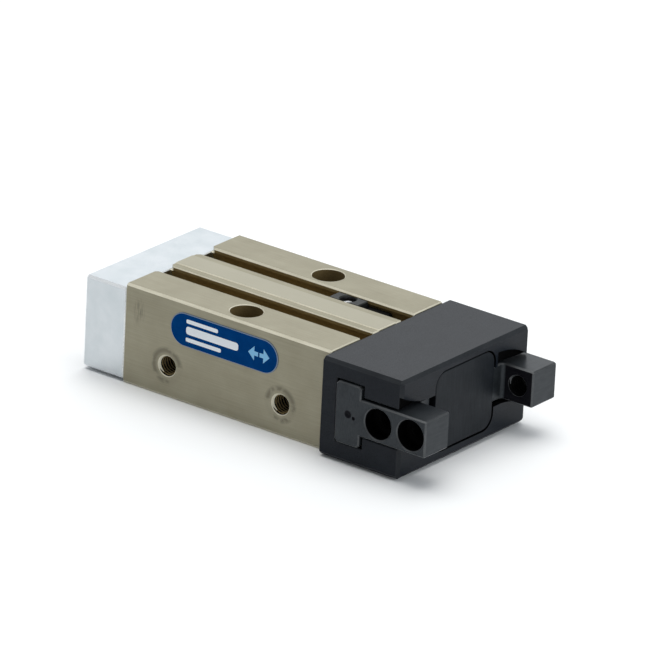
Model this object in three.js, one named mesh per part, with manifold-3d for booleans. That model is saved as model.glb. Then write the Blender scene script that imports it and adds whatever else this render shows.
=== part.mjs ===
// Compact pneumatic parallel gripper: a double-acting cylinder with a closing spring drives a
// wedge hook, and the wedge hook slides two T-shaped base jaws apart along a T-slot.
// Millimetres. +X points out of the jaws, the jaws slide along Y, +Z is up.
// The origin is under the middle of the gripper's length, on the cylinder body's underside.
// All moving pieces are drawn in the closed position: piston back, jaws together.

import * as THREE from "three";
import { mergeVertices } from "three/addons/utils/BufferGeometryUtils.js";
import Module from "manifold-3d";

const wasm = await Module();
wasm.setup();

// ---------------------------------------------------------------- driving dimensions

const BODY = { length: 33.7, width: 24, height: 14, chamfer: 0.3 };
const COVER = { length: 6.8, bottom: 0.4, top: 13.3, chamfer: 0.35 };
const HEAD = { length: 12.9, width: 27.4, bottom: 0.25, top: 13.85, chamfer: 0.45 };
const NOSE_LENGTH = 4.3;

const HALF_LENGTH = (COVER.length + BODY.length + HEAD.length + NOSE_LENGTH) / 2;
const COVER_BACK = -HALF_LENGTH;
const BODY_BACK = COVER_BACK + COVER.length;
const HEAD_BACK = BODY_BACK + BODY.length;
const HEAD_FRONT = HEAD_BACK + HEAD.length;
const NOSE_FRONT = HALF_LENGTH;
const AXIS_Z = 7.2;
const BELOW = -1;
const ABOVE = BODY.height + 1;

// Cylinder: bore, rod guide and the ports that open into the bore.
const BORE = { radius: 4, front: HEAD_BACK - 6.25 };
const BUSH_SEAT = { radius: 2.85, front: HEAD_BACK - 2.95 };
const SEAL_SEAT = { radius: 3.4, front: HEAD_BACK };
const RETAINER = { inner: 2.3, back: HEAD_BACK - 1.05, front: HEAD_BACK - 0.15 };
const PORTS = {
  x: [BODY_BACK + 7.25, BODY_BACK + 26],
  z: 4.35,
  radius: 1.25,
  depth: 5,
  tip: 0.5,
  passageRadius: 0.7,
  passageEnd: -2.2,
  mouth: 0.25,
};
const BODY_HOLES = { x: BODY_BACK + 17.35, y: 8.7, radius: 2.2, mouth: 0.1 };

// Two C-shaped sensor slots along the top.
const SLOT = { y: 4.35, radius: 1.9, depth: 2, halfOpening: 1.3, mouth: 0.2 };

// Piston group.
const ROD_RADIUS = 2;
const PISTON = { back: BODY_BACK + 8.95, length: 6, radius: 3.85, grooveRadius: 2.9, boltRadius: 1.1 };
const PISTON_FRONT = PISTON.back + PISTON.length;
const PISTON_GROOVES = [
  [0.7, 1.9],
  [2.2, 3.8],
  [4.1, 5.3],
];
const PISTON_BOLT = {
  headRadius: 1.9,
  headLength: 1.2,
  shankRadius: 1,
  length: 9.7,
  socket: 0.75,
  holeDepth: 4.4,
};
const SPRING = { radius: 2.75, wire: 0.33, turns: 8.5, endGap: 0.05 };

// Wedge hook: a block that narrows towards the jaws' tips, with a T-shaped rail on each flank.
const WEDGE = {
  back: HEAD_BACK + 0.3,
  length: 6.5,
  frontHalfWidth: 1.6,
  slope: 0.5,
  height: 5.2,
  neck: 0.7,
  neckHeight: 2.2,
  reach: 1.5,
  railHeight: 4.2,
};
const WEDGE_FRONT = WEDGE.back + WEDGE.length;
const WEDGE_STUB = { radius: 1.2, length: 3, pinX: WEDGE.back + 1.6, pinRadius: 0.5, pinLength: 4.6 };
const WEDGE_CLEARANCE = 0.1;

// T-slot in the head and the jaws that fill it.
const FLANGE_SLOT = { back: HEAD_BACK + 2.5, front: HEAD_BACK + 6.85, height: 8.7 };
const WEB_SLOT_HEIGHT = 5.5;
const JAW = {
  flangeBack: FLANGE_SLOT.back + 0.15,
  flangeFront: FLANGE_SLOT.front - 0.2,
  flangeHeight: 8.5,
  webHeight: 5.05,
  webFront: HEAD_FRONT - 0.65,
  webInner: 6.9,
  noseInner: 9,
  outer: 14.1,
  rootFillet: 0.6,
  flangeChamfer: 0.4,
  tipChamfer: 0.25,
};

// Each jaw's two finger holes: a seat on the outer side, and a core hole behind it.
const JAW_HOLES = {
  web: NOSE_FRONT - 7.65,
  nose: NOSE_FRONT - 2.45,
  seatRadius: 2.1,
  seatDepth: 2,
  coreRadius: 1.25,
  sink: 0.25,
};

// The recess along each lip's front edge. Its floor slopes up from the plate to the side, and its
// curved edge rises towards the side on one lip of each pair and falls on the other.
const LIP_RECESS = {
  inner: 6.9,
  outer: HEAD.width / 2 + 0.1,
  innerDepth: 1.2,
  outerDepth: 0.4,
  base: 1.5,
  rising: { from: 7, height: 2.7, radius: 13.4 },
  falling: { from: 6.7, height: 4.73, radius: 12 },
  steps: 8,
};

// The opening for the wedge hook, and the plate that closes it.
const POCKET = { width: 12.95, height: 11.3, corner: 2.1, depth: 1.75 };
const CAVITY = { width: 11.5, height: 9.8, corner: 1.5 };
const CHAMBER = { width: 13.4, height: 5.7 };
const PLATE = { width: 12.5, height: 10.85, corner: 1.9, back: HEAD_FRONT - 1.65, front: HEAD_FRONT - 0.05 };

// Fasteners.
const COVER_SCREWS = {
  y: 9.3,
  z: [3.2, 10.5],
  headRadius: 2.2,
  headLength: 2.5,
  shankRadius: 1.2,
  length: 9,
  socket: 1.15,
  seatDepth: 2.7,
};
const HEAD_SCREWS = {
  y: 9.6,
  headRadius: 2.25,
  headLength: 1.6,
  shankRadius: 1.2,
  length: 5.5,
  socket: 1.15,
  seatDepth: 1.8,
};
const TAPPED_DEPTH = 5.5;
const SCREW_SINK = 0.15;
const DOWELS = { y: 9.6, z: [3, 11.4], radius: 1, back: HEAD_BACK - 2.3, length: 4.3 };
const HOLE_CLEARANCE = 0.05;
const RING_GAP = 0.03;
const SEAL_RADIUS = BORE.radius - 0.04;
const FILLET_STEPS = 4;

// End cover's spigot with its O-ring and the rear stop.
const SPIGOT = { radius: 3.9, front: BODY_BACK + 5.55, noseRadius: 3, noseFront: BODY_BACK + 7.95 };
const BUMPER = { inner: 2.2, outer: 2.95, endGap: 0.1 };
const O_RING = { centre: BODY_BACK + 2.35, radius: 3.42, wire: 0.55, grooveRadius: 2.8, grooveWidth: 1.4 };

// Label on the near side and the switch stop clamped in the far sensor slot.
const LABEL = { x: BODY_BACK + 16.5, z: 10.27, length: 17.7, height: 4.65, thickness: 0.12, glue: 0.01 };
const STOP = { back: BODY_BACK + 21.6, length: 4.8, radius: 1.8, neckHalf: 1.15, top: 13.3 };
const STOP_SCREW = {
  x: STOP.back + 2.35,
  radius: 1.05,
  bottom: 10.7,
  top: 13.1,
  socket: 0.62,
  socketDepth: 1.2,
};
const STOP_BODY = { back: STOP.back + STOP.length + 0.15, length: 3.5, radius: 1.75, top: 13 };

// ---------------------------------------------------------------- solids and placing

// A closed mesh becomes a manifold solid once only its positions are left and merged.
function solid(geometry) {
  const bare = geometry.index ? geometry.toNonIndexed() : geometry.clone();
  bare.deleteAttribute("normal");
  bare.deleteAttribute("uv");
  const merged = mergeVertices(bare, 1e-4);
  const mesh = new wasm.Mesh({
    numProp: 3,
    vertProperties: new Float32Array(merged.attributes.position.array),
    triVerts: new Uint32Array(merged.index.array),
  });
  mesh.merge();
  return new wasm.Manifold(mesh);
}

function toGeometry(manifold) {
  const mesh = manifold.getMesh();
  const geometry = new THREE.BufferGeometry();
  geometry.setAttribute("position", new THREE.BufferAttribute(mesh.vertProperties, 3));
  geometry.setIndex(new THREE.BufferAttribute(mesh.triVerts, 1));
  geometry.computeVertexNormals();
  return geometry;
}

const join = (...solids) => solids.reduce((whole, piece) => whole.add(piece));
const cut = (whole, ...tools) => tools.reduce((rest, tool) => rest.subtract(tool), whole);

// Shapes are drawn on the plane across the extrusion, then turned so that they run along an axis.
const TO_X = new THREE.Matrix4().makeBasis(
  new THREE.Vector3(0, 1, 0),
  new THREE.Vector3(0, 0, 1),
  new THREE.Vector3(1, 0, 0),
);
const TO_Y = new THREE.Matrix4().makeBasis(
  new THREE.Vector3(1, 0, 0),
  new THREE.Vector3(0, 0, 1),
  new THREE.Vector3(0, -1, 0),
);

function prism(shape, depth, curveSegments = 12) {
  return new THREE.ExtrudeGeometry(shape, { depth, bevelEnabled: false, curveSegments });
}

// The shape's x and y are Y and Z.
function prismX(shape, x0, x1, curveSegments) {
  return solid(prism(shape, x1 - x0, curveSegments).applyMatrix4(TO_X).translate(x0, 0, 0));
}

// The shape's x and y are X and Z.
function prismY(shape, y0, y1, curveSegments) {
  return solid(prism(shape, y1 - y0, curveSegments).applyMatrix4(TO_Y).translate(0, y1, 0));
}

// The shape's x and y are X and Y.
function prismZ(shape, z0, z1, curveSegments) {
  return solid(prism(shape, z1 - z0, curveSegments).translate(0, 0, z0));
}

function box(x0, x1, y0, y1, z0, z1) {
  const geometry = new THREE.BoxGeometry(x1 - x0, y1 - y0, z1 - z0);
  return solid(geometry.translate((x0 + x1) / 2, (y0 + y1) / 2, (z0 + z1) / 2));
}

// A lathe's profile holds [radius, height] points, from the low end round the outside to the high end.
function latheGeometry(profile, segments) {
  return new THREE.LatheGeometry(profile.map(([r, h]) => new THREE.Vector2(r, h)), segments);
}

function latheX(profile, y = 0, z = AXIS_Z, segments = 28) {
  return solid(latheGeometry(profile, segments).rotateZ(-Math.PI / 2).translate(0, y, z));
}

function latheY(profile, x, z, segments = 28) {
  return solid(latheGeometry(profile, segments).translate(x, 0, z));
}

function latheZ(profile, x, y, segments = 28) {
  return solid(latheGeometry(profile, segments).rotateX(Math.PI / 2).translate(x, y, 0));
}

const rod = (radius, low, high) => [[0, low], [radius, low], [radius, high], [0, high]];
const ring = (inner, outer, low, high) => [
  [inner, low],
  [outer, low],
  [outer, high],
  [inner, high],
  [inner, low],
];

function polygon(points) {
  return new THREE.Shape(points.map(([a, b]) => new THREE.Vector2(a, b)));
}

// A rectangle with its corners cut off at 45 degrees.
function chamferedRectangle(a0, a1, b0, b1, c) {
  return polygon([
    [a0 + c, b0], [a1 - c, b0], [a1, b0 + c], [a1, b1 - c],
    [a1 - c, b1], [a0 + c, b1], [a0, b1 - c], [a0, b0 + c],
  ]);
}

// A rectangle about (a, b) with round corners.
function roundedRectangle(a, b, width, height, r) {
  const shape = new THREE.Shape();
  const halfA = width / 2 - r;
  const halfB = height / 2 - r;
  shape.absarc(a + halfA, b - halfB, r, -Math.PI / 2, 0);
  shape.absarc(a + halfA, b + halfB, r, 0, Math.PI / 2);
  shape.absarc(a - halfA, b + halfB, r, Math.PI / 2, Math.PI);
  shape.absarc(a - halfA, b - halfB, r, Math.PI, Math.PI * 1.5);
  return shape;
}

// A block with all twelve edges chamfered.
function chamferedBlock(x0, x1, y0, y1, z0, z1, c) {
  return prismX(chamferedRectangle(y0, y1, z0, z1, c), x0, x1)
    .intersect(prismY(chamferedRectangle(x0, x1, z0, z1, c), y0, y1))
    .intersect(prismZ(chamferedRectangle(x0, x1, y0, y1, c), z0, z1));
}

// ---------------------------------------------------------------- materials

const materials = {
  satinAluminium: [0xd4dadc, 0.42, 0.85],
  bronzeAnodised: [0x8a8672, 0.5, 0.6],
  blackAnodised: [0x33373b, 0.4, 0.5],
  nitridedSteel: [0x4a4e52, 0.36, 0.8],
  plateBlack: [0x3a3d40, 0.45, 0.5],
  zincSteel: [0xa9adb0, 0.3, 0.95],
  blackSteel: [0x26282a, 0.4, 0.7],
  polishedSteel: [0xc4c6c8, 0.2, 1],
  nitrile: [0x151515, 0.75, 0],
  sinteredBronze: [0xa87b45, 0.5, 0.9],
  magnet: [0x55565a, 0.4, 0.8],
  labelBlue: [0x1c3d73, 0.45, 0],
  stopGrey: [0x6a6c6e, 0.45, 0.7],
  stopBlack: [0x0c0c0d, 0.5, 0],
};
for (const [name, [color, roughness, metalness]] of Object.entries(materials)) {
  materials[name] = new THREE.MeshStandardMaterial({ color, roughness, metalness });
}

function addMesh(group, name, geometry, material) {
  const mesh = new THREE.Mesh(geometry, material);
  mesh.name = name;
  group.add(mesh);
  return mesh;
}

const addSolid = (group, name, manifold, material) =>
  addMesh(group, name, toGeometry(manifold), material);

// ---------------------------------------------------------------- fasteners

// A cylinder-head screw along X: the head's outer face is at x = 0 and the shank runs to +x.
function socketScrew({ headRadius, headLength, shankRadius, length, socket }, segments = 18) {
  const blank = latheX([
    [0, 0], [headRadius, 0], [headRadius, headLength],
    [shankRadius, headLength], [shankRadius, length], [0, length],
  ], 0, 0, segments);
  return cut(blank, latheX(rod(socket, -1, headLength * 0.6), 0, 0, 6));
}

// The hole that such a screw sits in: the seat from `mouth` inwards, then the shank's hole.
function screwHole(screw, mouth, end, y, z, direction = 1) {
  const seat = mouth + direction * screw.seatDepth;
  const span = (a, b) => [Math.min(a, b), Math.max(a, b)];
  const seatHole = latheX(rod(screw.headRadius + 0.15, ...span(mouth - direction, seat)), y, z, 24);
  const shankHole = latheX(rod(screw.shankRadius + HOLE_CLEARANCE, ...span(mouth, end)), y, z, 20);
  return join(seatHole, shankHole);
}

// ---------------------------------------------------------------- cylinder body

// The body's cross-section: chamfered long edges and two C-slots that open through the top.
function bodySection() {
  const half = BODY.width / 2;
  const { height, chamfer } = BODY;
  const shape = new THREE.Shape();
  shape.moveTo(-half + chamfer, 0);
  shape.lineTo(half - chamfer, 0);
  shape.lineTo(half, chamfer);
  shape.lineTo(half, height - chamfer);
  shape.lineTo(half - chamfer, height);
  for (const y of [SLOT.y, -SLOT.y]) {
    addSlot(shape, y);
  }
  shape.lineTo(-half + chamfer, height);
  shape.lineTo(-half, height - chamfer);
  shape.lineTo(-half, chamfer);
  return shape;
}

function addSlot(shape, y) {
  const { height } = BODY;
  const centre = height - SLOT.depth;
  const angle = Math.acos(SLOT.halfOpening / SLOT.radius);
  shape.lineTo(y + SLOT.halfOpening + SLOT.mouth, height);
  shape.lineTo(y + SLOT.halfOpening, height - SLOT.mouth);
  shape.absarc(y, centre, SLOT.radius, angle, Math.PI - angle, true);
  shape.lineTo(y - SLOT.halfOpening, height - SLOT.mouth);
  shape.lineTo(y - SLOT.halfOpening - SLOT.mouth, height);
}

function cylinderBore() {
  return latheX([
    [0, BODY_BACK - 1], [BORE.radius, BODY_BACK - 1], [BORE.radius, BORE.front],
    [BUSH_SEAT.radius, BORE.front], [BUSH_SEAT.radius, BUSH_SEAT.front],
    [SEAL_SEAT.radius, BUSH_SEAT.front], [SEAL_SEAT.radius, SEAL_SEAT.front + 1],
    [0, SEAL_SEAT.front + 1],
  ]);
}

// A threaded port in the near side: countersunk mouth, core hole, then a passage into the bore.
function portHole(x) {
  const face = -BODY.width / 2;
  const { radius, depth, tip, passageRadius, passageEnd, mouth } = PORTS;
  return latheY([
    [0, face - 1], [radius + mouth + 1, face - 1], [radius, face + mouth],
    [radius, face + depth], [passageRadius, face + depth + tip],
    [passageRadius, passageEnd], [0, passageEnd],
  ], x, PORTS.z);
}

// A through hole from top to bottom with a countersink at each end.
function bodyHole(y) {
  const { x, radius, mouth } = BODY_HOLES;
  const { height } = BODY;
  return latheZ([
    [0, -1], [radius + mouth + 1, -1], [radius, mouth], [radius, height - mouth],
    [radius + mouth + 1, height + 1], [0, height + 1],
  ], x, y, 32);
}

function cylinderBody() {
  const blank = prismX(bodySection(), BODY_BACK, HEAD_BACK, 12);
  const coverRadius = COVER_SCREWS.shankRadius + HOLE_CLEARANCE;
  const coverHoles = corners(COVER_SCREWS).map(([y, z]) =>
    latheX(rod(coverRadius, BODY_BACK - 1, BODY_BACK + TAPPED_DEPTH), y, z, 20));
  const headRadius = HEAD_SCREWS.shankRadius + HOLE_CLEARANCE;
  const headHoles = [-HEAD_SCREWS.y, HEAD_SCREWS.y].map((y) =>
    latheX(rod(headRadius, HEAD_BACK - TAPPED_DEPTH, HEAD_BACK + 1), y, AXIS_Z, 20));
  const dowelHoles = dowelPlaces().map(([y, z]) =>
    latheX(rod(DOWELS.radius + HOLE_CLEARANCE, DOWELS.back - 0.2, HEAD_BACK + 1), y, z, 20));
  return cut(
    blank,
    cylinderBore(),
    ...PORTS.x.map(portHole),
    bodyHole(-BODY_HOLES.y),
    bodyHole(BODY_HOLES.y),
    ...coverHoles,
    ...headHoles,
    ...dowelHoles,
  );
}

const corners = ({ y, z }) => [[-y, z[0]], [y, z[0]], [y, z[1]], [-y, z[1]]];
const dowelPlaces = () => [[-DOWELS.y, DOWELS.z[0]], [DOWELS.y, DOWELS.z[1]]];

// ---------------------------------------------------------------- end cover

function endCover() {
  const half = BODY.width / 2;
  const { bottom, top, chamfer } = COVER;
  const block = chamferedBlock(COVER_BACK, BODY_BACK, -half, half, bottom, top, chamfer);
  const groove = [O_RING.centre - O_RING.grooveWidth / 2, O_RING.centre + O_RING.grooveWidth / 2];
  const spigot = latheX([
    [0, BODY_BACK - 1], [SPIGOT.radius, BODY_BACK - 1], [SPIGOT.radius, groove[0]],
    [O_RING.grooveRadius, groove[0]], [O_RING.grooveRadius, groove[1]], [SPIGOT.radius, groove[1]],
    [SPIGOT.radius, SPIGOT.front], [SPIGOT.noseRadius, SPIGOT.front],
    [SPIGOT.noseRadius, SPIGOT.noseFront], [0, SPIGOT.noseFront],
  ]);
  const holes = corners(COVER_SCREWS).map(([y, z]) =>
    screwHole(COVER_SCREWS, COVER_BACK, BODY_BACK + 1, y, z));
  return cut(join(block, spigot), ...holes);
}

// ---------------------------------------------------------------- guide head

function tSlot() {
  const half = HEAD.width / 2 + 1;
  const flange = FLANGE_SLOT.height / 2;
  const web = WEB_SLOT_HEIGHT / 2;
  return join(
    box(FLANGE_SLOT.back, FLANGE_SLOT.front, -half, half, AXIS_Z - flange, AXIS_Z + flange),
    box(FLANGE_SLOT.front - 0.1, HEAD_FRONT + 1, -half, half, AXIS_Z - web, AXIS_Z + web),
  );
}

// The opening for the wedge hook: a chamber behind the T-slot, a cavity through the lips
// and a shallow pocket that takes the front plate.
function mechanismOpening() {
  const chamberHalf = CHAMBER.width / 2;
  const chamber = box(
    HEAD_BACK - 1, FLANGE_SLOT.back + 0.1, -chamberHalf, chamberHalf,
    AXIS_Z - CHAMBER.height / 2, AXIS_Z + CHAMBER.height / 2,
  );
  const cavity = prismX(
    roundedRectangle(0, AXIS_Z, CAVITY.width, CAVITY.height, CAVITY.corner),
    FLANGE_SLOT.front - 0.1, HEAD_FRONT - 1, 5,
  );
  const pocket = prismX(
    roundedRectangle(0, AXIS_Z, POCKET.width, POCKET.height, POCKET.corner),
    HEAD_FRONT - POCKET.depth, HEAD_FRONT + 1, 8,
  );
  return join(chamber, cavity, pocket);
}

// The recess in one of the four lips.
function lipRecess(sideY, sideZ) {
  const { inner, outer, innerDepth, outerDepth, base, rising, falling, steps } = LIP_RECESS;
  const bend = sideY === sideZ ? -1 : 1;
  const curve = bend > 0 ? rising : falling;
  const edge = Array.from({ length: steps + 1 }, (_, i) => {
    const y = inner + ((outer - inner) * i) / steps;
    const rise = curve.radius - Math.sqrt(curve.radius ** 2 - (y - curve.from) ** 2);
    return [y, curve.height + bend * rise];
  });
  const outline = polygon(
    [...edge, [outer, base], [inner, base]].map(([y, z]) => [sideY * y, AXIS_Z + sideZ * z]),
  );
  const wedge = polygon([
    [HEAD_FRONT - innerDepth, sideY * inner], [HEAD_FRONT - outerDepth, sideY * outer],
    [HEAD_FRONT + 1, sideY * outer], [HEAD_FRONT + 1, sideY * inner],
  ]);
  return prismX(outline, HEAD_FRONT - 2, HEAD_FRONT + 1).intersect(prismZ(wedge, BELOW, ABOVE));
}

function guideHead() {
  const half = HEAD.width / 2;
  const { bottom, top, chamfer } = HEAD;
  const block = chamferedBlock(HEAD_BACK, HEAD_FRONT, -half, half, bottom, top, chamfer);
  const screws = [-HEAD_SCREWS.y, HEAD_SCREWS.y].map((y) =>
    screwHole(HEAD_SCREWS, FLANGE_SLOT.back, HEAD_BACK - 1, y, AXIS_Z, -1));
  const dowelHoles = dowelPlaces().map(([y, z]) =>
    latheX(rod(DOWELS.radius + HOLE_CLEARANCE, HEAD_BACK - 1, FLANGE_SLOT.back + 0.1), y, z, 20));
  const recesses = [-1, 1].flatMap((sideY) => [-1, 1].map((sideZ) => lipRecess(sideY, sideZ)));
  return cut(block, tSlot(), mechanismOpening(), ...screws, ...dowelHoles, ...recesses);
}

function frontPlate() {
  const shape = roundedRectangle(0, AXIS_Z, PLATE.width, PLATE.height, PLATE.corner);
  return prismX(shape, PLATE.back, PLATE.front, 8);
}

// ---------------------------------------------------------------- wedge hook and jaws

const flank = (x) => WEDGE.frontHalfWidth + WEDGE.slope * (WEDGE_FRONT - x);

// A prism that follows one flank of the wedge hook, between two distances out from it.
function flankBand(side, x0, x1, out0, out1, height) {
  const shape = polygon([
    [x0, side * (flank(x0) + out0)],
    [x1, side * (flank(x1) + out0)],
    [x1, side * (flank(x1) + out1)],
    [x0, side * (flank(x0) + out1)],
  ]);
  return prismZ(shape, AXIS_Z - height / 2, AXIS_Z + height / 2);
}

function wedgeHook() {
  const x = [WEDGE.back, WEDGE_FRONT];
  const core = polygon([
    [x[0], -flank(x[0])], [x[1], -flank(x[1])], [x[1], flank(x[1])], [x[0], flank(x[0])],
  ]);
  let hook = prismZ(core, AXIS_Z - WEDGE.height / 2, AXIS_Z + WEDGE.height / 2);
  for (const side of [-1, 1]) {
    hook = join(
      hook,
      flankBand(side, ...x, -0.5, WEDGE.neck + 0.1, WEDGE.neckHeight),
      flankBand(side, ...x, WEDGE.neck, WEDGE.reach, WEDGE.railHeight),
    );
  }
  const socket = latheX(rod(WEDGE_STUB.radius + HOLE_CLEARANCE, x[0] - 1, x[0] + WEDGE_STUB.length + 0.2));
  const pinHole = latheZ(rod(WEDGE_STUB.pinRadius + HOLE_CLEARANCE, BELOW, ABOVE), WEDGE_STUB.pinX, 0, 16);
  return cut(hook, socket, pinHole);
}

// The jaw's T-shaped section: x along the gripper, z up.
function jawSection() {
  const { flangeBack, flangeFront, flangeChamfer: c, tipChamfer: tip } = JAW;
  const flange = JAW.flangeHeight / 2;
  const web = JAW.webHeight / 2;
  const half = [
    [NOSE_FRONT, web - tip], [NOSE_FRONT - tip, web], [flangeFront, web],
    [flangeFront, flange - c], [flangeFront - c, flange], [flangeBack + c, flange],
    [flangeBack, flange - c],
  ];
  const mirrored = half.map(([x, z]) => [x, -z]).reverse();
  return polygon([...half, ...mirrored].map(([x, z]) => [x, AXIS_Z + z]));
}

function jaw(side) {
  const { flangeFront, webInner, noseInner, outer } = JAW;
  const across = (a, b) => (side > 0 ? [a, b] : [-b, -a]);
  const blank = prismY(jawSection(), ...across(1, outer));
  const innerWeb = box(flangeFront, NOSE_FRONT + 1, ...across(0, webInner), BELOW, ABOVE);
  const innerNose = prismZ(besideNose(side), BELOW, ABOVE);
  const holes = [
    fingerHole(side, JAW_HOLES.web, webInner),
    fingerHole(side, JAW_HOLES.nose, noseInner),
  ];
  const x = [WEDGE.back - 1, WEDGE_FRONT + 1];
  const gap = WEDGE_CLEARANCE;
  const hookSlot = join(
    flankBand(side, ...x, -6, gap, 2 * BODY.height),
    flankBand(side, ...x, 0, WEDGE.neck + 2 * gap, WEDGE.neckHeight + 2 * gap),
    flankBand(side, ...x, WEDGE.neck - gap, WEDGE.reach + gap, WEDGE.railHeight + 2 * gap),
  );
  return cut(blank, innerWeb, innerNose, hookSlot, ...holes);
}

// The space on the inner side of the nose, with a fillet at the nose's root.
function besideNose(side) {
  const { webFront, noseInner, rootFillet: r } = JAW;
  const fillet = Array.from({ length: FILLET_STEPS + 1 }, (_, i) => {
    const angle = (i * Math.PI) / 2 / FILLET_STEPS;
    return [webFront + r - r * Math.sin(angle), noseInner - r + r * Math.cos(angle)];
  });
  const points = [[webFront, 0], [NOSE_FRONT + 1, 0], [NOSE_FRONT + 1, noseInner], ...fillet];
  return polygon(points.map(([x, y]) => [x, side * y]));
}

// A stepped hole: a seat on the outer side and a core hole, countersunk on the inner side.
function fingerHole(side, x, inner) {
  const { seatRadius, seatDepth, coreRadius, sink } = JAW_HOLES;
  const { outer } = JAW;
  const profile = [
    [0, inner - 0.5], [coreRadius + sink + 0.5, inner - 0.5], [coreRadius, inner + sink],
    [coreRadius, outer - seatDepth], [seatRadius, outer - seatDepth], [seatRadius, outer + 1],
    [0, outer + 1],
  ].map(([r, y]) => [r, side * y]);
  return latheY(side > 0 ? profile : profile.reverse(), x, AXIS_Z, 28);
}

// ---------------------------------------------------------------- piston group

function piston() {
  const { back, radius, grooveRadius, boltRadius } = PISTON;
  const seat = { radius: PISTON_BOLT.headRadius + 0.2, depth: PISTON_BOLT.headLength + 0.2 };
  const outline = [[seat.radius, back], [radius, back]];
  for (const [from, to] of PISTON_GROOVES) {
    outline.push([radius, back + from], [grooveRadius, back + from]);
    outline.push([grooveRadius, back + to], [radius, back + to]);
  }
  outline.push([radius, PISTON_FRONT], [boltRadius, PISTON_FRONT], [boltRadius, back + seat.depth]);
  outline.push([seat.radius, back + seat.depth], [seat.radius, back]);
  return latheX(outline);
}

function grooveRing([from, to], outerRadius) {
  const inner = PISTON.grooveRadius + HOLE_CLEARANCE;
  return latheX(ring(inner, outerRadius, PISTON.back + from + 0.1, PISTON.back + to - 0.1));
}

function pistonRod() {
  const shoulder = WEDGE.back - 0.05;
  const blank = latheX([
    [0, PISTON_FRONT + 0.05], [ROD_RADIUS, PISTON_FRONT + 0.05], [ROD_RADIUS, shoulder],
    [WEDGE_STUB.radius, shoulder], [WEDGE_STUB.radius, WEDGE.back + WEDGE_STUB.length],
    [0, WEDGE.back + WEDGE_STUB.length],
  ]);
  const boltRadius = PISTON_BOLT.shankRadius + HOLE_CLEARANCE;
  const boltHole = latheX(rod(boltRadius, PISTON_FRONT - 1, PISTON_FRONT + PISTON_BOLT.holeDepth));
  const pinHole = latheZ(rod(WEDGE_STUB.pinRadius + HOLE_CLEARANCE, BELOW, ABOVE), WEDGE_STUB.pinX, 0, 16);
  return cut(blank, boltHole, pinHole);
}

// The spring's wire follows a helix about the rod.
class Helix extends THREE.Curve {
  constructor(x0, x1, radius, turns) {
    super();
    Object.assign(this, { x0, x1, radius, turns });
  }

  getPoint(t, target = new THREE.Vector3()) {
    const angle = t * this.turns * 2 * Math.PI;
    const x = THREE.MathUtils.lerp(this.x0, this.x1, t);
    return target.set(x, this.radius * Math.cos(angle), AXIS_Z + this.radius * Math.sin(angle));
  }
}

function closingSpring() {
  const endSpace = SPRING.wire + SPRING.endGap;
  const ends = [PISTON_FRONT + endSpace, BORE.front - endSpace];
  const wire = new THREE.Shape().absarc(0, 0, SPRING.wire, 0, 2 * Math.PI);
  const path = new Helix(...ends, SPRING.radius, SPRING.turns);
  return new THREE.ExtrudeGeometry(wire, {
    steps: Math.round(SPRING.turns * 12),
    curveSegments: 3,
    bevelEnabled: false,
    extrudePath: path,
  });
}

// ---------------------------------------------------------------- label and switch stop

function labelPlate() {
  const { x, z, length, height, thickness } = LABEL;
  const face = -BODY.width / 2 - LABEL.glue;
  return prismY(roundedRectangle(x, z, length, height, height / 2 - 0.001), face - thickness, face, 8);
}

function slotCentre() {
  return { y: SLOT.y, z: BODY.height - SLOT.depth };
}

function switchStopClamp() {
  const { y, z } = slotCentre();
  const x = [STOP.back, STOP.back + STOP.length];
  const round = latheX(rod(STOP.radius, ...x), y, z, 28);
  const neck = box(...x, y - STOP.neckHalf, y + STOP.neckHalf, z, STOP.top);
  const screwBore = latheZ(rod(STOP_SCREW.radius + HOLE_CLEARANCE, BELOW, ABOVE), STOP_SCREW.x, y, 20);
  return cut(join(round, neck), screwBore);
}

function switchStopScrew() {
  const { y } = slotCentre();
  const blank = latheZ(rod(STOP_SCREW.radius, STOP_SCREW.bottom, STOP_SCREW.top), STOP_SCREW.x, y, 20);
  const socketFloor = STOP_SCREW.top - STOP_SCREW.socketDepth;
  const socket = latheZ(rod(STOP_SCREW.socket, socketFloor, ABOVE), STOP_SCREW.x, y, 6);
  return cut(blank, socket);
}

function switchStopBody() {
  const { y, z } = slotCentre();
  const x = [STOP_BODY.back, STOP_BODY.back + STOP_BODY.length];
  const round = latheX(rod(STOP_BODY.radius, ...x), y, z, 28);
  const aboveTop = box(x[0] - 1, x[1] + 1, y - 3, y + 3, STOP_BODY.top, ABOVE);
  return cut(round, aboveTop);
}

// ---------------------------------------------------------------- assembly

function buildHousing() {
  const group = new THREE.Group();
  addSolid(group, "cylinder_body", cylinderBody(), materials.bronzeAnodised);
  addSolid(group, "end_cover", endCover(), materials.satinAluminium);
  addCoverScrews(group);
  const oRing = new THREE.TorusGeometry(O_RING.radius, O_RING.wire, 8, 24).rotateY(Math.PI / 2);
  const cover = addSolid(group, "cover_o_ring", solid(oRing), materials.nitrile);
  cover.position.set(O_RING.centre, 0, AXIS_Z);
  const bumperEnds = [SPIGOT.noseFront + HOLE_CLEARANCE, PISTON.back - BUMPER.endGap];
  const bumper = ring(BUMPER.inner, BUMPER.outer, ...bumperEnds);
  addSolid(group, "rear_bumper", latheX(bumper), materials.nitrile);
  addRodGuide(group);
  addSolid(group, "label_plate", labelPlate(), materials.labelBlue);
  addSolid(group, "switch_stop_clamp", switchStopClamp(), materials.stopGrey);
  addSolid(group, "switch_stop_screw", switchStopScrew(), materials.blackSteel);
  addSolid(group, "switch_stop_body", switchStopBody(), materials.stopBlack);
  return group;
}

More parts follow.
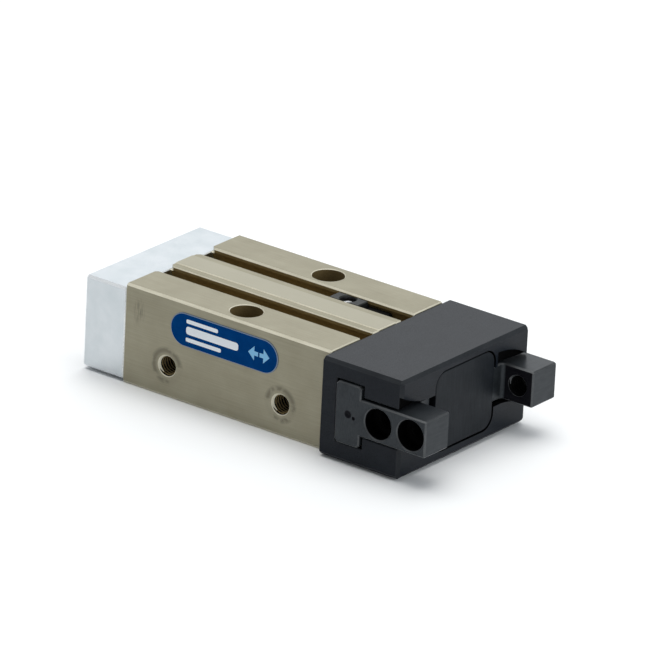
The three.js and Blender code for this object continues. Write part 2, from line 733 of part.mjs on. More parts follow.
function addCoverScrews(group) {
  corners(COVER_SCREWS).forEach(([y, z], index) => {
    const screw = socketScrew(COVER_SCREWS);
    const mesh = addSolid(group, `cover_screw_${index + 1}`, screw, materials.zincSteel);
    mesh.position.set(COVER_BACK + SCREW_SINK, y, z);
  });
}

function addRodGuide(group) {
  const bore = ROD_RADIUS + HOLE_CLEARANCE;
  const outer = SEAL_SEAT.radius - RING_GAP;
  const bush = ring(bore, BUSH_SEAT.radius - RING_GAP, BORE.front + 0.1, BUSH_SEAT.front - 0.05);
  const seal = ring(bore, outer, BUSH_SEAT.front + 0.05, RETAINER.back - 0.1);
  const retainer = ring(RETAINER.inner, outer, RETAINER.back, RETAINER.front);
  addSolid(group, "rod_bush", latheX(bush), materials.sinteredBronze);
  addSolid(group, "rod_seal", latheX(seal), materials.nitrile);
  addSolid(group, "seal_retainer", latheX(retainer), materials.blackSteel);
}

function buildHead() {
  const group = new THREE.Group();
  addSolid(group, "guide_head", guideHead(), materials.blackAnodised);
  addSolid(group, "front_plate", frontPlate(), materials.plateBlack);
  [-1, 1].forEach((side, index) => {
    const screw = addSolid(
      group, `head_screw_${index + 1}`, socketScrew(HEAD_SCREWS), materials.zincSteel,
    );
    screw.rotation.z = Math.PI;
    screw.position.set(FLANGE_SLOT.back - SCREW_SINK, side * HEAD_SCREWS.y, AXIS_Z);
  });
  dowelPlaces().forEach(([y, z], index) => {
    const pin = latheX(rod(DOWELS.radius, DOWELS.back, DOWELS.back + DOWELS.length), y, z, 20);
    addSolid(group, `head_dowel_${index + 1}`, pin, materials.polishedSteel);
  });
  return group;
}

function buildPistonGroup() {
  const group = new THREE.Group();
  addSolid(group, "piston", piston(), materials.satinAluminium);
  addSolid(group, "piston_seal_rear", grooveRing(PISTON_GROOVES[0], SEAL_RADIUS), materials.nitrile);
  addSolid(group, "magnet_ring", grooveRing(PISTON_GROOVES[1], PISTON.radius - 0.1), materials.magnet);
  addSolid(group, "piston_seal_front", grooveRing(PISTON_GROOVES[2], SEAL_RADIUS), materials.nitrile);
  addSolid(group, "piston_rod", pistonRod(), materials.polishedSteel);
  const bolt = addSolid(group, "piston_bolt", socketScrew(PISTON_BOLT), materials.zincSteel);
  bolt.position.set(PISTON.back + SCREW_SINK, 0, AXIS_Z);
  addSolid(group, "wedge_hook", wedgeHook(), materials.nitridedSteel);
  const half = WEDGE_STUB.pinLength / 2;
  const pin = latheZ(rod(WEDGE_STUB.pinRadius, AXIS_Z - half, AXIS_Z + half), WEDGE_STUB.pinX, 0, 16);
  addSolid(group, "hook_pin", pin, materials.polishedSteel);
  addMesh(group, "closing_spring", closingSpring(), materials.polishedSteel);
  return group;
}

function buildJaws() {
  const group = new THREE.Group();
  addSolid(group, "jaw_near", jaw(-1), materials.nitridedSteel);
  addSolid(group, "jaw_far", jaw(1), materials.nitridedSteel);
  return group;
}

const gripper = new THREE.Group();
gripper.add(buildHousing(), buildHead(), buildPistonGroup(), buildJaws());

export default gripper;
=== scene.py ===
"""Looks of a compact pneumatic parallel gripper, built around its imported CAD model.

Shapes are made in millimetres in the CAD frame and scaled to metres when a piece is finished.
+X points out of the jaws, the jaws slide along Y, and +Z is out of the slotted face.
"""

import math

import bmesh
import bpy
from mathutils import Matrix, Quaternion, Vector


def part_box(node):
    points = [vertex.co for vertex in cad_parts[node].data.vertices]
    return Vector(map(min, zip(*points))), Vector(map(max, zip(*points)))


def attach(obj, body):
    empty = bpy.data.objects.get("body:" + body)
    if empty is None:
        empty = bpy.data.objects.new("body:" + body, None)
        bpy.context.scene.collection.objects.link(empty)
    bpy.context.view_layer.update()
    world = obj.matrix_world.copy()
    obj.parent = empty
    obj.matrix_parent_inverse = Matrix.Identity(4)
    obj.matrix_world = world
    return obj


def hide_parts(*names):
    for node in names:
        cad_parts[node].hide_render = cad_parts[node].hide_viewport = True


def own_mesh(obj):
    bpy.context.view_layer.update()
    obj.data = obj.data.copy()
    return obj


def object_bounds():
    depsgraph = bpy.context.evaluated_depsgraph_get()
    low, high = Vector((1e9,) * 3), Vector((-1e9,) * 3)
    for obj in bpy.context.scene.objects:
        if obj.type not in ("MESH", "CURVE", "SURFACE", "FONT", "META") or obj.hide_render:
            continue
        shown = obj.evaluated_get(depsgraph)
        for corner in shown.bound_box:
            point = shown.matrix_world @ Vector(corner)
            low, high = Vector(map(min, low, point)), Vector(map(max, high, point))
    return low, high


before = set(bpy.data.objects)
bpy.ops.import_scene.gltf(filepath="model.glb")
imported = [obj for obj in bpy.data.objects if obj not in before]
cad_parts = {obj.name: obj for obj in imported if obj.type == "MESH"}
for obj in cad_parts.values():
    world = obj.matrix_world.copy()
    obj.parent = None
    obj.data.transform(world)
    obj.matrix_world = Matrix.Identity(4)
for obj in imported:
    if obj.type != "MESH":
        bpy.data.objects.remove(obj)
cad_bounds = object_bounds()

MM = 0.001

# Material slots that every made piece shares: broad faces, chamfered edges, and bores. Most edge looks are
# lighter copies of the face looks, a painted highlight and partly edge wear, and most bore looks are darker
# copies, painted shade.
FACE, EDGE, INNER = 0, 1, 2
# A few pieces have a fourth surface, painted darker as shade: the body's slot walls, and a jaw's punch marks
# and nose's inner side.
OTHER = 3
# The flanks of a port's thread, painted near-black as shade where no light reaches.
DEEP = 4
SLOTS = (FACE, EDGE, INNER, OTHER, DEEP)

# A cut can leave an open edge shorter than this, in millimetres, which is closed by collapsing it.
SLIVER = 0.1


class Extent:
    """The box of a CAD node, in millimetres."""

    def __init__(self, node):
        low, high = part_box(node)
        self.low = low / MM
        self.high = high / MM
        self.mid = (self.low + self.high) / 2
        self.size = self.high - self.low


BODY = Extent("cylinder_body")
COVER = Extent("end_cover")
HEAD = Extent("guide_head")
PLATE = Extent("front_plate")
PISTON = Extent("piston")
SPRING = Extent("closing_spring")
LABEL = Extent("label_plate")
CLAMP = Extent("switch_stop_clamp")
STOP_SCREW = Extent("switch_stop_screw")
STOP_BODY = Extent("switch_stop_body")
JAW = Extent("jaw_far")

AXIS_Z = PISTON.mid.z
SLOT_Y = CLAMP.mid.y
BACK = BODY.low.x
FRONT = BODY.high.x

# How far a cutter runs past the surface that it opens, or a joined part into its neighbour.
OVER = 1

# Sizes of the body's details.
BODY_CHAMFER = 0.3
BODY_END_CHAMFER = 0.14
SLOT = {
    "radius": 1.9, "depth": 2.0, "half_opening": 1.3, "mouth": 0.22, "lead_in": 0.5, "lead_in_depth": 0.75,
}
LAND = {"half_width": 1.75, "step": 0.1, "slope": 0.12}
PORT = {"core": 1.2, "major": 1.42, "pitch": 0.5, "thread": 5.0, "mouth": 1.52, "passage": 0.7}
PORT_END_Y = -2.2
PORT_X = (BACK + 7.25, BACK + 26)
PORT_Z = 4.35
RING = {"radius": 2.15, "colour": (0.13, 0.115, 0.08)}
SMUDGE = {"x": BACK + 2.3, "z": 10.65, "colour": (0.09, 0.08, 0.055)}
THROUGH = {"core": 2.2, "mouth": 2.3}
THROUGH_X = BACK + 17.35
THROUGH_Y = 8.7
BORE = {"radius": 4.0, "front": FRONT - 6.25, "bush": 2.85, "bush_front": FRONT - 2.95, "seal": 3.4}

# Sizes of the head's and the jaws' details.
HEAD_CHAMFER = 0.45
FLANGE_SLOT = {"back": FRONT + 2.5, "front": FRONT + 6.85, "height": 8.7}
WEB_SLOT_HEIGHT = 5.5
SLOT_MOUTH = 0.12
POCKET = {"width": 12.95, "height": 11.3, "corner": 2.1, "depth": 1.75}
CAVITY = {"width": 11.5, "height": 9.8, "corner": 1.5}
CHAMBER = {"width": 13.4, "height": 5.7}
LIP_RECESS = {"inner": 6.9, "inner_depth": 1.2, "outer_depth": 0.4, "base": 1.5}
RISING_EDGE = {"start": 7.0, "height": 2.7, "radius": 13.4}
FALLING_EDGE = {"start": 6.7, "height": 4.73, "radius": 12.0}
WEB = {
    "height": 5.05, "front": HEAD.high.x - 0.65, "inner": 6.9, "nose_inner": 9.0, "fillet": 0.6, "edge": 0.2,
}
WEB_HOLE_X = JAW.high.x - 7.65
NOSE_HOLE_X = JAW.high.x - 2.45
JAW_SEAT = {"radius": 2.1, "depth": 2.0, "mouth": 0.15}
JAW_THREAD = {"core": 1.25, "major": 1.48, "pitch": 0.5, "sink": 0.25}
# Each mark's place on the flange, along X and Z from its back and from the axis, and its radius.
PUNCH_MARKS = ((2.1, 0.05, 0.68), (3.0, -0.3, 0.32))
PUNCH_DEPTH = 0.22
PLATE_CORNER = 1.9
HOOK = {"back": FRONT + 0.3, "front": FRONT + 6.8, "front_half_width": 1.6, "slope": 0.5}
# The cuts along the hook's flank: where each starts and ends, measured from it, and its height.
HOOK_BANDS = ((-6, 0.1, 20), (0, 0.9, 2.4), (0.6, 1.6, 4.4))

# The spring's wire, as a radius, and its turns. The real spring is held at its front end.
WIRE = {"radius": 0.33, "turns": 8.5, "sides": 12, "steps_per_turn": 32}

# Sizes of the end cover. The spigot's places along X are measured from the body's back.
COVER_CHAMFER = 0.32
COVER_JOINT_CHAMFER = 0.12
SPIGOT = {"radius": 3.9, "tip": 3.7, "seat": 3, "taper": 5.35, "end": 5.55}
GROOVE = {"radius": 2.8, "back": 1.65, "front": 3.05}

# Sizes of the label's print.
INK_RISE = 0.015
INK_SINK = 0.02
# Each bar's length, height, and place above the label's middle.
BARS = ((5.2, 0.55, 1.3), (8.6, 1.1, 0.05), (5.8, 0.55, -1.25))
ARROW = {"tip": 1.75, "neck": 0.75, "tail": 0.12, "half_head": 1.0, "half_shaft": 0.3}

# Sizes of the switch stop.
CLAMP_HALF_WIDTH = 1.15
CLAMP_BORE = {"radius": 1.1, "mouth": 1.35}
STOP_CHAMFER = 0.12
STOP_SCREW_RISE = 0.15
STOP_SOCKET = {"radius": 0.66, "depth": 0.1}

# Sizes of the fasteners.
COVER_SCREWS = ("cover_screw_1", "cover_screw_2", "cover_screw_3", "cover_screw_4")
COVER_SCREW = {"head": 2.2, "head_length": 2.5, "shank": 1.2, "socket": 1.15}
COVER_SEAT = {"radius": 2.35, "depth": 2.7, "flare": 0.35, "flare_depth": 0.15}
KNURL = {"ridges": 36, "depth": 0.06}
SCREW_HOLE = 1.25
TAPPED_DEPTH = 5.5
HEAD_SCREW_Y = 9.6
HEAD_SEAT = {"radius": 2.4, "depth": 1.8}
DOWELS = ((-9.6, 3.0), (9.6, 11.4))
DOWEL_HOLE = {"radius": 1.05, "depth": 2.5}


# ---------------------------------------- outlines

def arc(centre, radius, start, end, steps):
    """Points on an arc, in degrees, counter-clockwise when end is above start."""
    points = []
    for step in range(steps + 1):
        angle = math.radians(start + (end - start) * step / steps)
        points.append((centre[0] + radius * math.cos(angle), centre[1] + radius * math.sin(angle)))
    return points


def rounded_rectangle(centre, width, height, radius, steps=10):
    half_a = width / 2 - radius
    half_b = height / 2 - radius
    a, b = centre
    return (
        arc((a + half_a, b - half_b), radius, -90, 0, steps)
        + arc((a + half_a, b + half_b), radius, 0, 90, steps)
        + arc((a - half_a, b + half_b), radius, 90, 180, steps)
        + arc((a - half_a, b - half_b), radius, 180, 270, steps)
    )


def chamfered_rectangle(a0, a1, b0, b1, c):
    return [
        (a0 + c, b0), (a1 - c, b0), (a1, b0 + c), (a1, b1 - c),
        (a1 - c, b1), (a0 + c, b1), (a0, b1 - c), (a0, b0 + c),
    ]


def circle(centre, radius, steps=48):
    return arc(centre, radius, 0, 360, steps)[:-1]


def inset(outline, distance):
    """The outline with every side moved inwards, or outwards for a negative distance."""
    if distance == 0:
        return list(outline)
    points = [Vector(p) for p in outline]
    moved = []
    for before, here, after in zip(points[-1:] + points[:-1], points, points[1:] + points[:1]):
        d0 = (here - before).normalized()
        d1 = (after - here).normalized()
        n0 = Vector((-d0.y, d0.x))
        n1 = Vector((-d1.y, d1.x))
        mitre = (n0 + n1).normalized()
        moved.append(tuple(here + mitre * (distance / max(mitre.dot(n0), 0.2))))
    return moved


# ---------------------------------------- solids

PLACE = {
    "X": lambda a, b, h: (h, a, b),
    "Y": lambda a, b, h: (a, h, b),
    "Z": lambda a, b, h: (a, b, h),
}


def link(made):
    bpy.context.scene.collection.objects.link(made)


def make_object(name, vertices, faces, tags):
    mesh = bpy.data.meshes.new(name)
    mesh.from_pydata(vertices, [], faces)
    for _ in SLOTS:
        mesh.materials.append(None)
    mesh.polygons.foreach_set("material_index", tags)
    work = bmesh.new()
    work.from_mesh(mesh)
    bmesh.ops.remove_doubles(work, verts=work.verts, dist=1e-6)
    bmesh.ops.recalc_face_normals(work, faces=work.faces)
    work.to_mesh(mesh)
    work.free()
    made = bpy.data.objects.new(name, mesh)
    link(made)
    return made


def skin(rings, axis, heights, tags, cap_tag, name):
    """A closed solid through rings that all have the same number of points."""
    count = len(rings[0])
    vertices = [PLACE[axis](a, b, h) for ring, h in zip(rings, heights) for a, b in ring]
    faces = [list(range(count))[::-1]]
    face_tags = [cap_tag]
    for level in range(len(rings) - 1):
        base = level * count
        for k in range(count):
            n = (k + 1) % count
            faces.append([base + k, base + n, base + count + n, base + count + k])
            face_tags.append(tags[level])
    faces.append(list(range((len(rings) - 1) * count, len(rings) * count)))
    face_tags.append(cap_tag)
    return make_object(name, vertices, faces, face_tags)


def loft(outline, axis, stations, tag=FACE):
    """The outline run along an axis. A station is (place, inset), and a change of inset is an edge."""
    rings = [inset(outline, amount) for _, amount in stations]
    tags = [tag if a[1] == b[1] else EDGE for a, b in zip(stations, stations[1:])]
    return skin(rings, axis, [place for place, _ in stations], tags, tag, "loft")


def chamfered_run(low, high, c):
    """Stations of a piece with the same chamfer at both ends."""
    return [(low, c), (low + c, 0), (high - c, 0), (high, c)]


def block(low, high):
    """A plain box, used as a cutter."""
    outline = [(low[0], low[1]), (high[0], low[1]), (high[0], high[1]), (low[0], high[1])]
    return loft(outline, "Z", [(low[2], 0), (high[2], 0)], INNER)


def lathe(profile, axis, centre, tag=INNER, segments=48, cone_tag=EDGE):
    """A turned solid. The profile holds (radius, height) points, from axis to axis."""
    inner = profile[1:-1]
    rings = [circle(centre, radius, segments) for radius, _ in inner]
    tags = []
    for (r0, h0), (r1, h1) in zip(inner, inner[1:]):
        tags.append(cone_tag if abs(r1 - r0) > 1e-6 and abs(h1 - h0) > 1e-6 else tag)
    return skin(rings, axis, [h for _, h in inner], tags, tag, "lathe")


def drill(radius, low, high, axis, centre, segments=40):
    """A plain round cutter."""
    return lathe([(0, low), (radius, low), (radius, high), (0, high)], axis, centre, INNER, segments)


def thread(sizes, low, high, axis, centre, flank_tag=INNER, segments=36, steps=8):
    """A cutter for a tapped hole: its radius follows a helix between the core and the major size."""
    core, major, pitch = sizes["core"], sizes["major"], sizes["pitch"]
    rows = max(2, round((high - low) / pitch * steps))
    rings = []
    heights = []
    for row in range(rows + 1):
        h = low + (high - low) * row / rows
        ring = []
        for k in range(segments):
            # Flat at the crest and at the root, with straight flanks between them.
            phase = (h / pitch - k / segments) % 1
            crest = min(1.0, max(0.0, 1.5 - 3.4 * abs(phase - 0.5)))
            radius = core + (major - core) * crest
            angle = 2 * math.pi * k / segments
            ring.append((centre[0] + radius * math.cos(angle), centre[1] + radius * math.sin(angle)))
        rings.append(ring)
        heights.append(h)
    made = skin(rings, axis, heights, [flank_tag] * rows, flank_tag, "thread")
    middle = Vector(PLACE[axis](centre[0], centre[1], 0))
    along = Vector(PLACE[axis](0, 0, 1))
    # The facets nearest the axis catch the light, so they take the bore's look, painted lighter than a port
    # thread's shaded flanks. The two large end caps keep the flanks' tag.
    for polygon in made.data.polygons:
        reach = (polygon.center - middle).cross(along).length
        if polygon.area < 1 and reach < (core + major) / 2:
            polygon.material_index = INNER
    return made


def mark_edges(made, extent, reach=0.35):
    """Tags the slanting faces close to the sides of the piece's box as edges."""
    for polygon in made.data.polygons:
        slanting = max(abs(part) for part in polygon.normal) < 0.95
        gaps = [abs(polygon.center[k] - side[k]) for side in (extent.low, extent.high) for k in range(3)]
        if slanting and min(gaps) < reach and polygon.material_index == FACE:
            polygon.material_index = EDGE


def discard(made):
    mesh = made.data
    bpy.data.objects.remove(made)
    bpy.data.meshes.remove(mesh)


def gather(tools):
    """Several cutters that stay clear of each other, as one."""
    work = bmesh.new()
    for tool in tools:
        work.from_mesh(tool.data)
    mesh = bpy.data.meshes.new("tools")
    for _ in SLOTS:
        mesh.materials.append(None)
    work.to_mesh(mesh)
    work.free()
    for tool in tools:
        discard(tool)
    made = bpy.data.objects.new("tools", mesh)
    link(made)
    return made


def combine(target, operation, *tools):
    """Joins or cuts the target by each tool in turn, and removes the tools."""
    for tool in tools:
        modifier = target.modifiers.new(operation, "BOOLEAN")
        modifier.operation = operation
        modifier.solver = "EXACT"
        modifier.object = tool
    bpy.context.view_layer.update()
    evaluated = target.evaluated_get(bpy.context.evaluated_depsgraph_get())
    mesh = bpy.data.meshes.new_from_object(evaluated)
    old = target.data
    target.modifiers.clear()
    target.data = mesh
    bpy.data.meshes.remove(old)
    for tool in tools:
        discard(tool)
    return target


def cut(target, *tools):
    return combine(target, "DIFFERENCE", *tools)


def join(target, *tools):
    return combine(target, "UNION", *tools)


def finish_piece(made, name, body, nodes, looks, smooth=35):
    """Scales the piece to metres, gives it its looks, puts it on its body, and hides the CAD nodes that it
    replaces.
    """
    made.name = name
    mesh = made.data
    mesh.name = name
    work = bmesh.new()
    work.from_mesh(mesh)
    bmesh.ops.remove_doubles(work, verts=work.verts, dist=1e-4)
    bmesh.ops.dissolve_degenerate(work, edges=work.edges, dist=1e-5)
    slivers = [edge for edge in work.edges if edge.is_boundary and edge.calc_length() < SLIVER]
    bmesh.ops.collapse(work, edges=slivers)
    bmesh.ops.scale(work, vec=(MM, MM, MM), verts=work.verts)
    work.to_mesh(mesh)
    work.free()
    mesh.polygons.foreach_set("use_smooth", [True] * len(mesh.polygons))
    mesh.set_sharp_from_angle(angle=math.radians(smooth))
    tags = [polygon.material_index for polygon in mesh.polygons]
    mesh.materials.clear()
    for look in looks:
        mesh.materials.append(look)
    mesh.polygons.foreach_set("material_index", tags)
    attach(made, body)
    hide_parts(*nodes)


# ---------------------------------------- node materials

# The sockets of a Mix node that mixes colours.
MIX_A, MIX_B, MIX_OUT = 6, 7, 2

class Tree:
    """A material's node tree, with object coordinates in millimetres."""

    def __init__(self, name, metallic, specular=0.5):
        self.material = bpy.data.materials.new(name)
        self.material.use_nodes = True
        self.nodes = self.material.node_tree.nodes
        self.links = self.material.node_tree.links
        self.shader = self.nodes["Principled BSDF"]
        self.shader.inputs["Metallic"].default_value = metallic
        self.shader.inputs["Specular IOR Level"].default_value = specular
        place = self.nodes.new("ShaderNodeTexCoord").outputs["Object"]
        self.place = self.stretch((1 / MM, 1 / MM, 1 / MM), place)

    def fill(self, socket, value):
        if isinstance(value, bpy.types.NodeSocket):
            self.links.new(value, socket)
        else:
            socket.default_value = value

    def stretch(self, scale, vector=None):
        node = self.nodes.new("ShaderNodeMapping")
        node.inputs["Scale"].default_value = scale
        self.links.new(vector or self.place, node.inputs["Vector"])
        return node.outputs["Vector"]

    def noise(self, scale, detail=3.0, vector=None, roughness=0.55):
        node = self.nodes.new("ShaderNodeTexNoise")
        self.links.new(vector or self.place, node.inputs["Vector"])
        node.inputs["Scale"].default_value = scale
        node.inputs["Detail"].default_value = detail
        node.inputs["Roughness"].default_value = roughness
        return node.outputs["Fac"]

    def math(self, operation, a, b=0.0, clamp=False):
        node = self.nodes.new("ShaderNodeMath")
        node.operation = operation
        node.use_clamp = clamp
        self.fill(node.inputs[0], a)
        self.fill(node.inputs[1], b)
        return node.outputs[0]

    def span(self, value, low, high, to_low=0.0, to_high=1.0):
        node = self.nodes.new("ShaderNodeMapRange")
        for socket, number in zip(node.inputs[1:5], (low, high, to_low, to_high)):
            socket.default_value = number
        self.links.new(value, node.inputs[0])
        return node.outputs[0]

    def mix(self, factor, a, b):
        node = self.nodes.new("ShaderNodeMix")
        node.data_type = "RGBA"
        self.fill(node.inputs[0], factor)
        for index, colour in ((MIX_A, a), (MIX_B, b)):
            value = colour if isinstance(colour, bpy.types.NodeSocket) else (*colour, 1)
            self.fill(node.inputs[index], value)
        return node.outputs[MIX_OUT]

    def distance(self, point, keep):
        """How far a point of the surface is from a named point, counting only the kept axes."""
        flat = self.nodes.new("ShaderNodeVectorMath")
        flat.operation = "MULTIPLY"
        self.links.new(self.place, flat.inputs[0])
        flat.inputs[1].default_value = keep
        node = self.nodes.new("ShaderNodeVectorMath")
        node.operation = "DISTANCE"
        self.links.new(flat.outputs["Vector"], node.inputs[0])
        node.inputs[1].default_value = [p * k for p, k in zip(point, keep)]
        return node.outputs["Value"]

    def axis(self, name):
        node = self.nodes.new("ShaderNodeSeparateXYZ")
        self.links.new(self.place, node.inputs[0])
        return node.outputs[name]

    def bump(self, height, strength, distance):
        node = self.nodes.new("ShaderNodeBump")
        node.inputs["Strength"].default_value = strength
        node.inputs["Distance"].default_value = distance * MM
        self.links.new(height, node.inputs["Height"])
        self.links.new(node.outputs["Normal"], self.shader.inputs["Normal"])

    def finish(self, colour, roughness):
        self.fill(self.shader.inputs["Base Color"], colour)
        self.fill(self.shader.inputs["Roughness"], roughness)
        return self.material


def machined(name, dark, light, roughness, metallic, grain=(0.25, 7.0, 7.0), bump=0.25, specular=0.5):
    """A machined surface: cloudy tone, fine tool lines along one axis, and uneven gloss."""
    tree = Tree(name, metallic, specular)
    cloud = tree.noise(0.35, 4.0)
    lines = tree.noise(1.0, 3.0, tree.stretch(grain))
    speck = tree.noise(9.0, 2.0)
    tone = tree.math("ADD", tree.math("MULTIPLY", cloud, 0.5), tree.math("MULTIPLY", lines, 0.5))
    colour = tree.mix(tree.span(tone, 0.35, 0.65), dark, light)
    height = tree.math("ADD", lines, tree.math("MULTIPLY", speck, 0.5))
    tree.bump(height, bump, 0.03)
    gloss = tree.span(speck, 0.3, 0.7, roughness - 0.05, roughness + 0.05)
    return tree.finish(colour, gloss)


def bronze_body():
    """The anodised body: mill lines, rings worn round the ports, and a dark smudge."""
    tree = Tree("bronze_anodised", 0.35, 0.3)
    cloud = tree.noise(0.22, 5.0)
    lines = tree.noise(1.0, 3.0, tree.stretch((0.12, 6.0, 6.0)))
    marks = tree.noise(1.0, 2.0, tree.stretch((5.0, 5.0, 0.5)))
    speck = tree.noise(10.0, 2.0)
    blots = tree.noise(0.55, 3.0)
    tone = tree.math("ADD", tree.math("MULTIPLY", cloud, 0.55), tree.math("MULTIPLY", lines, 0.45))
    colour = tree.mix(tree.span(tone, 0.35, 0.68), (0.265, 0.243, 0.17), (0.335, 0.312, 0.228))
    high = tree.math("GREATER_THAN", tree.axis("Z"), BODY.high.z - 0.05)
    middle = tree.math("LESS_THAN", tree.math("ABSOLUTE", tree.axis("Y")), LAND["half_width"])
    land = tree.math("MULTIPLY", tree.math("MULTIPLY", high, middle), 0.7)
    colour = tree.mix(land, colour, (0.4, 0.381, 0.3))
    near = tree.math("LESS_THAN", tree.axis("Y"), BODY.low.y + 0.02)
    for x in PORT_X:
        away = tree.distance((x, 0, PORT_Z), (1, 0, 1))
        offset = tree.math("ABSOLUTE", tree.math("SUBTRACT", away, RING["radius"]))
        ring = tree.math("SUBTRACT", 1.0, offset, True)
        whole = tree.span(ring, 0.4, 0.9, 0.0, 0.75)
        worn = tree.math("MULTIPLY", whole, tree.span(blots, 0.44, 0.56, 0.15, 1.0))
        colour = tree.mix(tree.math("MULTIPLY", worn, near), colour, RING["colour"])
    smudge = tree.distance((SMUDGE["x"], 0, SMUDGE["z"]), (1, 0, 0.5))
    spot = tree.span(smudge, 0.15, 1.1, 0.7, 0.0)
    stain = tree.math("MULTIPLY", spot, tree.span(marks, 0.4, 0.6))
    colour = tree.mix(tree.math("MULTIPLY", stain, near), colour, SMUDGE["colour"])
    height = tree.math("ADD", lines, tree.math("MULTIPLY", marks, 0.35))
    tree.bump(tree.math("ADD", height, tree.math("MULTIPLY", speck, 0.4)), 0.35, 0.03)
    return tree.finish(colour, tree.span(speck, 0.3, 0.7, 0.42, 0.52))


def satin_cover():
    """Clear anodised cover: fine blasted grain with faint handling marks."""
    tree = Tree("satin_aluminium", 1.0)
    cloud = tree.noise(0.3, 4.0)
    grain = tree.noise(14.0, 3.0)
    scratches = tree.noise(1.0, 2.0, tree.stretch((4.0, 0.4, 6.0)))
    colour = tree.mix(tree.span(cloud, 0.35, 0.65), (0.53, 0.57, 0.59), (0.6, 0.63, 0.65))
    colour = tree.mix(tree.span(scratches, 0.66, 0.74, 0.0, 0.3), colour, (0.45, 0.48, 0.5))
    tree.bump(grain, 0.25, 0.02)
    return tree.finish(colour, tree.span(grain, 0.3, 0.7, 0.25, 0.36))


def label_film():
    """Printed blue film, a little uneven."""
    tree = Tree("label_blue", 0.0, 0.0)
    cloud = tree.noise(0.5, 3.0)
    peel = tree.noise(5.0, 2.0)
    colour = tree.mix(tree.span(cloud, 0.3, 0.7), (0.0005, 0.036, 0.155), (0.002, 0.048, 0.19))
    tree.bump(peel, 0.12, 0.02)
    return tree.finish(colour, tree.span(peel, 0.3, 0.7, 0.36, 0.46))


def printed(name, dark, light):
    """Ink on the label."""
    tree = Tree(name, 0.0)
    cloud = tree.noise(6.0, 3.0)
    tree.bump(cloud, 0.1, 0.01)
    return tree.finish(tree.mix(cloud, dark, light), tree.span(cloud, 0.3, 0.7, 0.4, 0.5))


def rubber(name, dark, light):
    """Moulded rubber or plastic: matt, with a fine even texture."""
    tree = Tree(name, 0.0, 0.08)
    grain = tree.noise(12.0, 3.0)
    tree.bump(grain, 0.3, 0.02)
    return tree.finish(tree.mix(grain, dark, light), tree.span(grain, 0.3, 0.7, 0.55, 0.7))


bronze = bronze_body()
# Lighter bronze for the body's edges and countersinks: a painted highlight, partly edge wear.
bronze_edge_highlight_and_wear = machined("bronze_edge_highlight_and_wear", (0.62, 0.58, 0.45), (0.78, 0.74, 0.6), roughness=0.4, metallic=0.2)
# Darker bronze for the body's bores and hollows: painted shade.
bronze_hollow_shade = machined(
    "bronze_hollow_shade", (0.14, 0.1, 0.04), (0.2, 0.145, 0.065),
    roughness=0.5, metallic=0.2, specular=0.15,
)
# Near-black bronze for a port thread's flanks: painted shade.
bronze_thread_shade = machined(
    "bronze_thread_shade", (0.006, 0.005, 0.004), (0.012, 0.01, 0.008),
    roughness=0.5, metallic=0.0, specular=0.05,
)
# Darker bronze for the slot walls: painted shade.
bronze_slot_shade = machined(
    "bronze_slot_shade", (0.22, 0.16, 0.064), (0.32, 0.235, 0.105),
    roughness=0.5, metallic=0.2, specular=0.15,
)
satin = satin_cover()
# Lighter satin for the cover's edges: a painted highlight.
satin_edge_highlight = machined("satin_edge_highlight", (0.86, 0.89, 0.92), (0.95, 0.97, 0.98), roughness=0.3, metallic=0.4)
# Darker satin for the cover's screw seats: painted shade.
satin_hollow_shade = machined("satin_hollow_shade", (0.4, 0.42, 0.43), (0.5, 0.52, 0.53), roughness=0.4, metallic=0.8)
black = machined(
    "black_anodised", (0.003, 0.005, 0.009), (0.008, 0.011, 0.016),
    roughness=0.31, metallic=0.0, grain=(6.0, 0.25, 6.0), bump=0.15, specular=0.13,
)
# Lighter black for the head's and plate's edges: a painted highlight.
black_edge_highlight = machined(
    "black_edge_highlight", (0.01, 0.012, 0.015), (0.02, 0.023, 0.027),
    roughness=0.4, metallic=0.0, specular=0.2,
)
# Near-black for the head's slots, hollows, recesses and bores: painted shade.
black_hollow_shade = machined(
    "black_hollow_shade", (0.0006, 0.0006, 0.0007), (0.0015, 0.0015, 0.0018),
    roughness=0.65, metallic=0.0, specular=0.04,
)
plate = machined(
    "plate_black", (0.006, 0.008, 0.011), (0.014, 0.017, 0.021),
    roughness=0.4, metallic=0.15, grain=(1.0, 4.0, 0.4), bump=0.1, specular=0.1,
)
steel = machined(
    "nitrided_steel", (0.018, 0.022, 0.026), (0.034, 0.039, 0.044),
    roughness=0.36, metallic=0.4, grain=(6.0, 0.4, 2.0), bump=0.2, specular=0.25,
)
# Lighter steel for the jaws' edges: a painted highlight, partly edge wear.
steel_edge_highlight_and_wear = machined(
    "steel_edge_highlight_and_wear", (0.045, 0.049, 0.053), (0.08, 0.084, 0.088),
    roughness=0.34, metallic=0.4,
)
# Dark steel for a jaw's punch marks and nose's inner side: painted shade.
steel_painted_shade = machined(
    "steel_painted_shade", (0.005, 0.005, 0.007), (0.011, 0.011, 0.014),
    roughness=0.5, metallic=0.0, specular=0.06,
)
# Near-black steel for the jaws' holes: painted shade.
steel_hollow_shade = machined(
    "steel_hollow_shade", (0.0006, 0.0006, 0.0008), (0.0016, 0.0016, 0.002),
    roughness=0.6, metallic=0.0, specular=0.04,
)
zinc = machined(
    "zinc_steel", (0.4, 0.41, 0.42), (0.6, 0.61, 0.62),
    roughness=0.3, metallic=0.9, grain=(3.0, 3.0, 3.0),
)
# Darker zinc for the cover screws' sockets: painted shade.
zinc_hollow_shade = machined("zinc_hollow_shade", (0.2, 0.2, 0.21), (0.3, 0.3, 0.31), roughness=0.35, metallic=0.9)
oxide = machined(
    "black_steel", (0.02, 0.02, 0.022), (0.045, 0.045, 0.048),
    roughness=0.38, metallic=0.6, grain=(3.0, 3.0, 3.0),
)
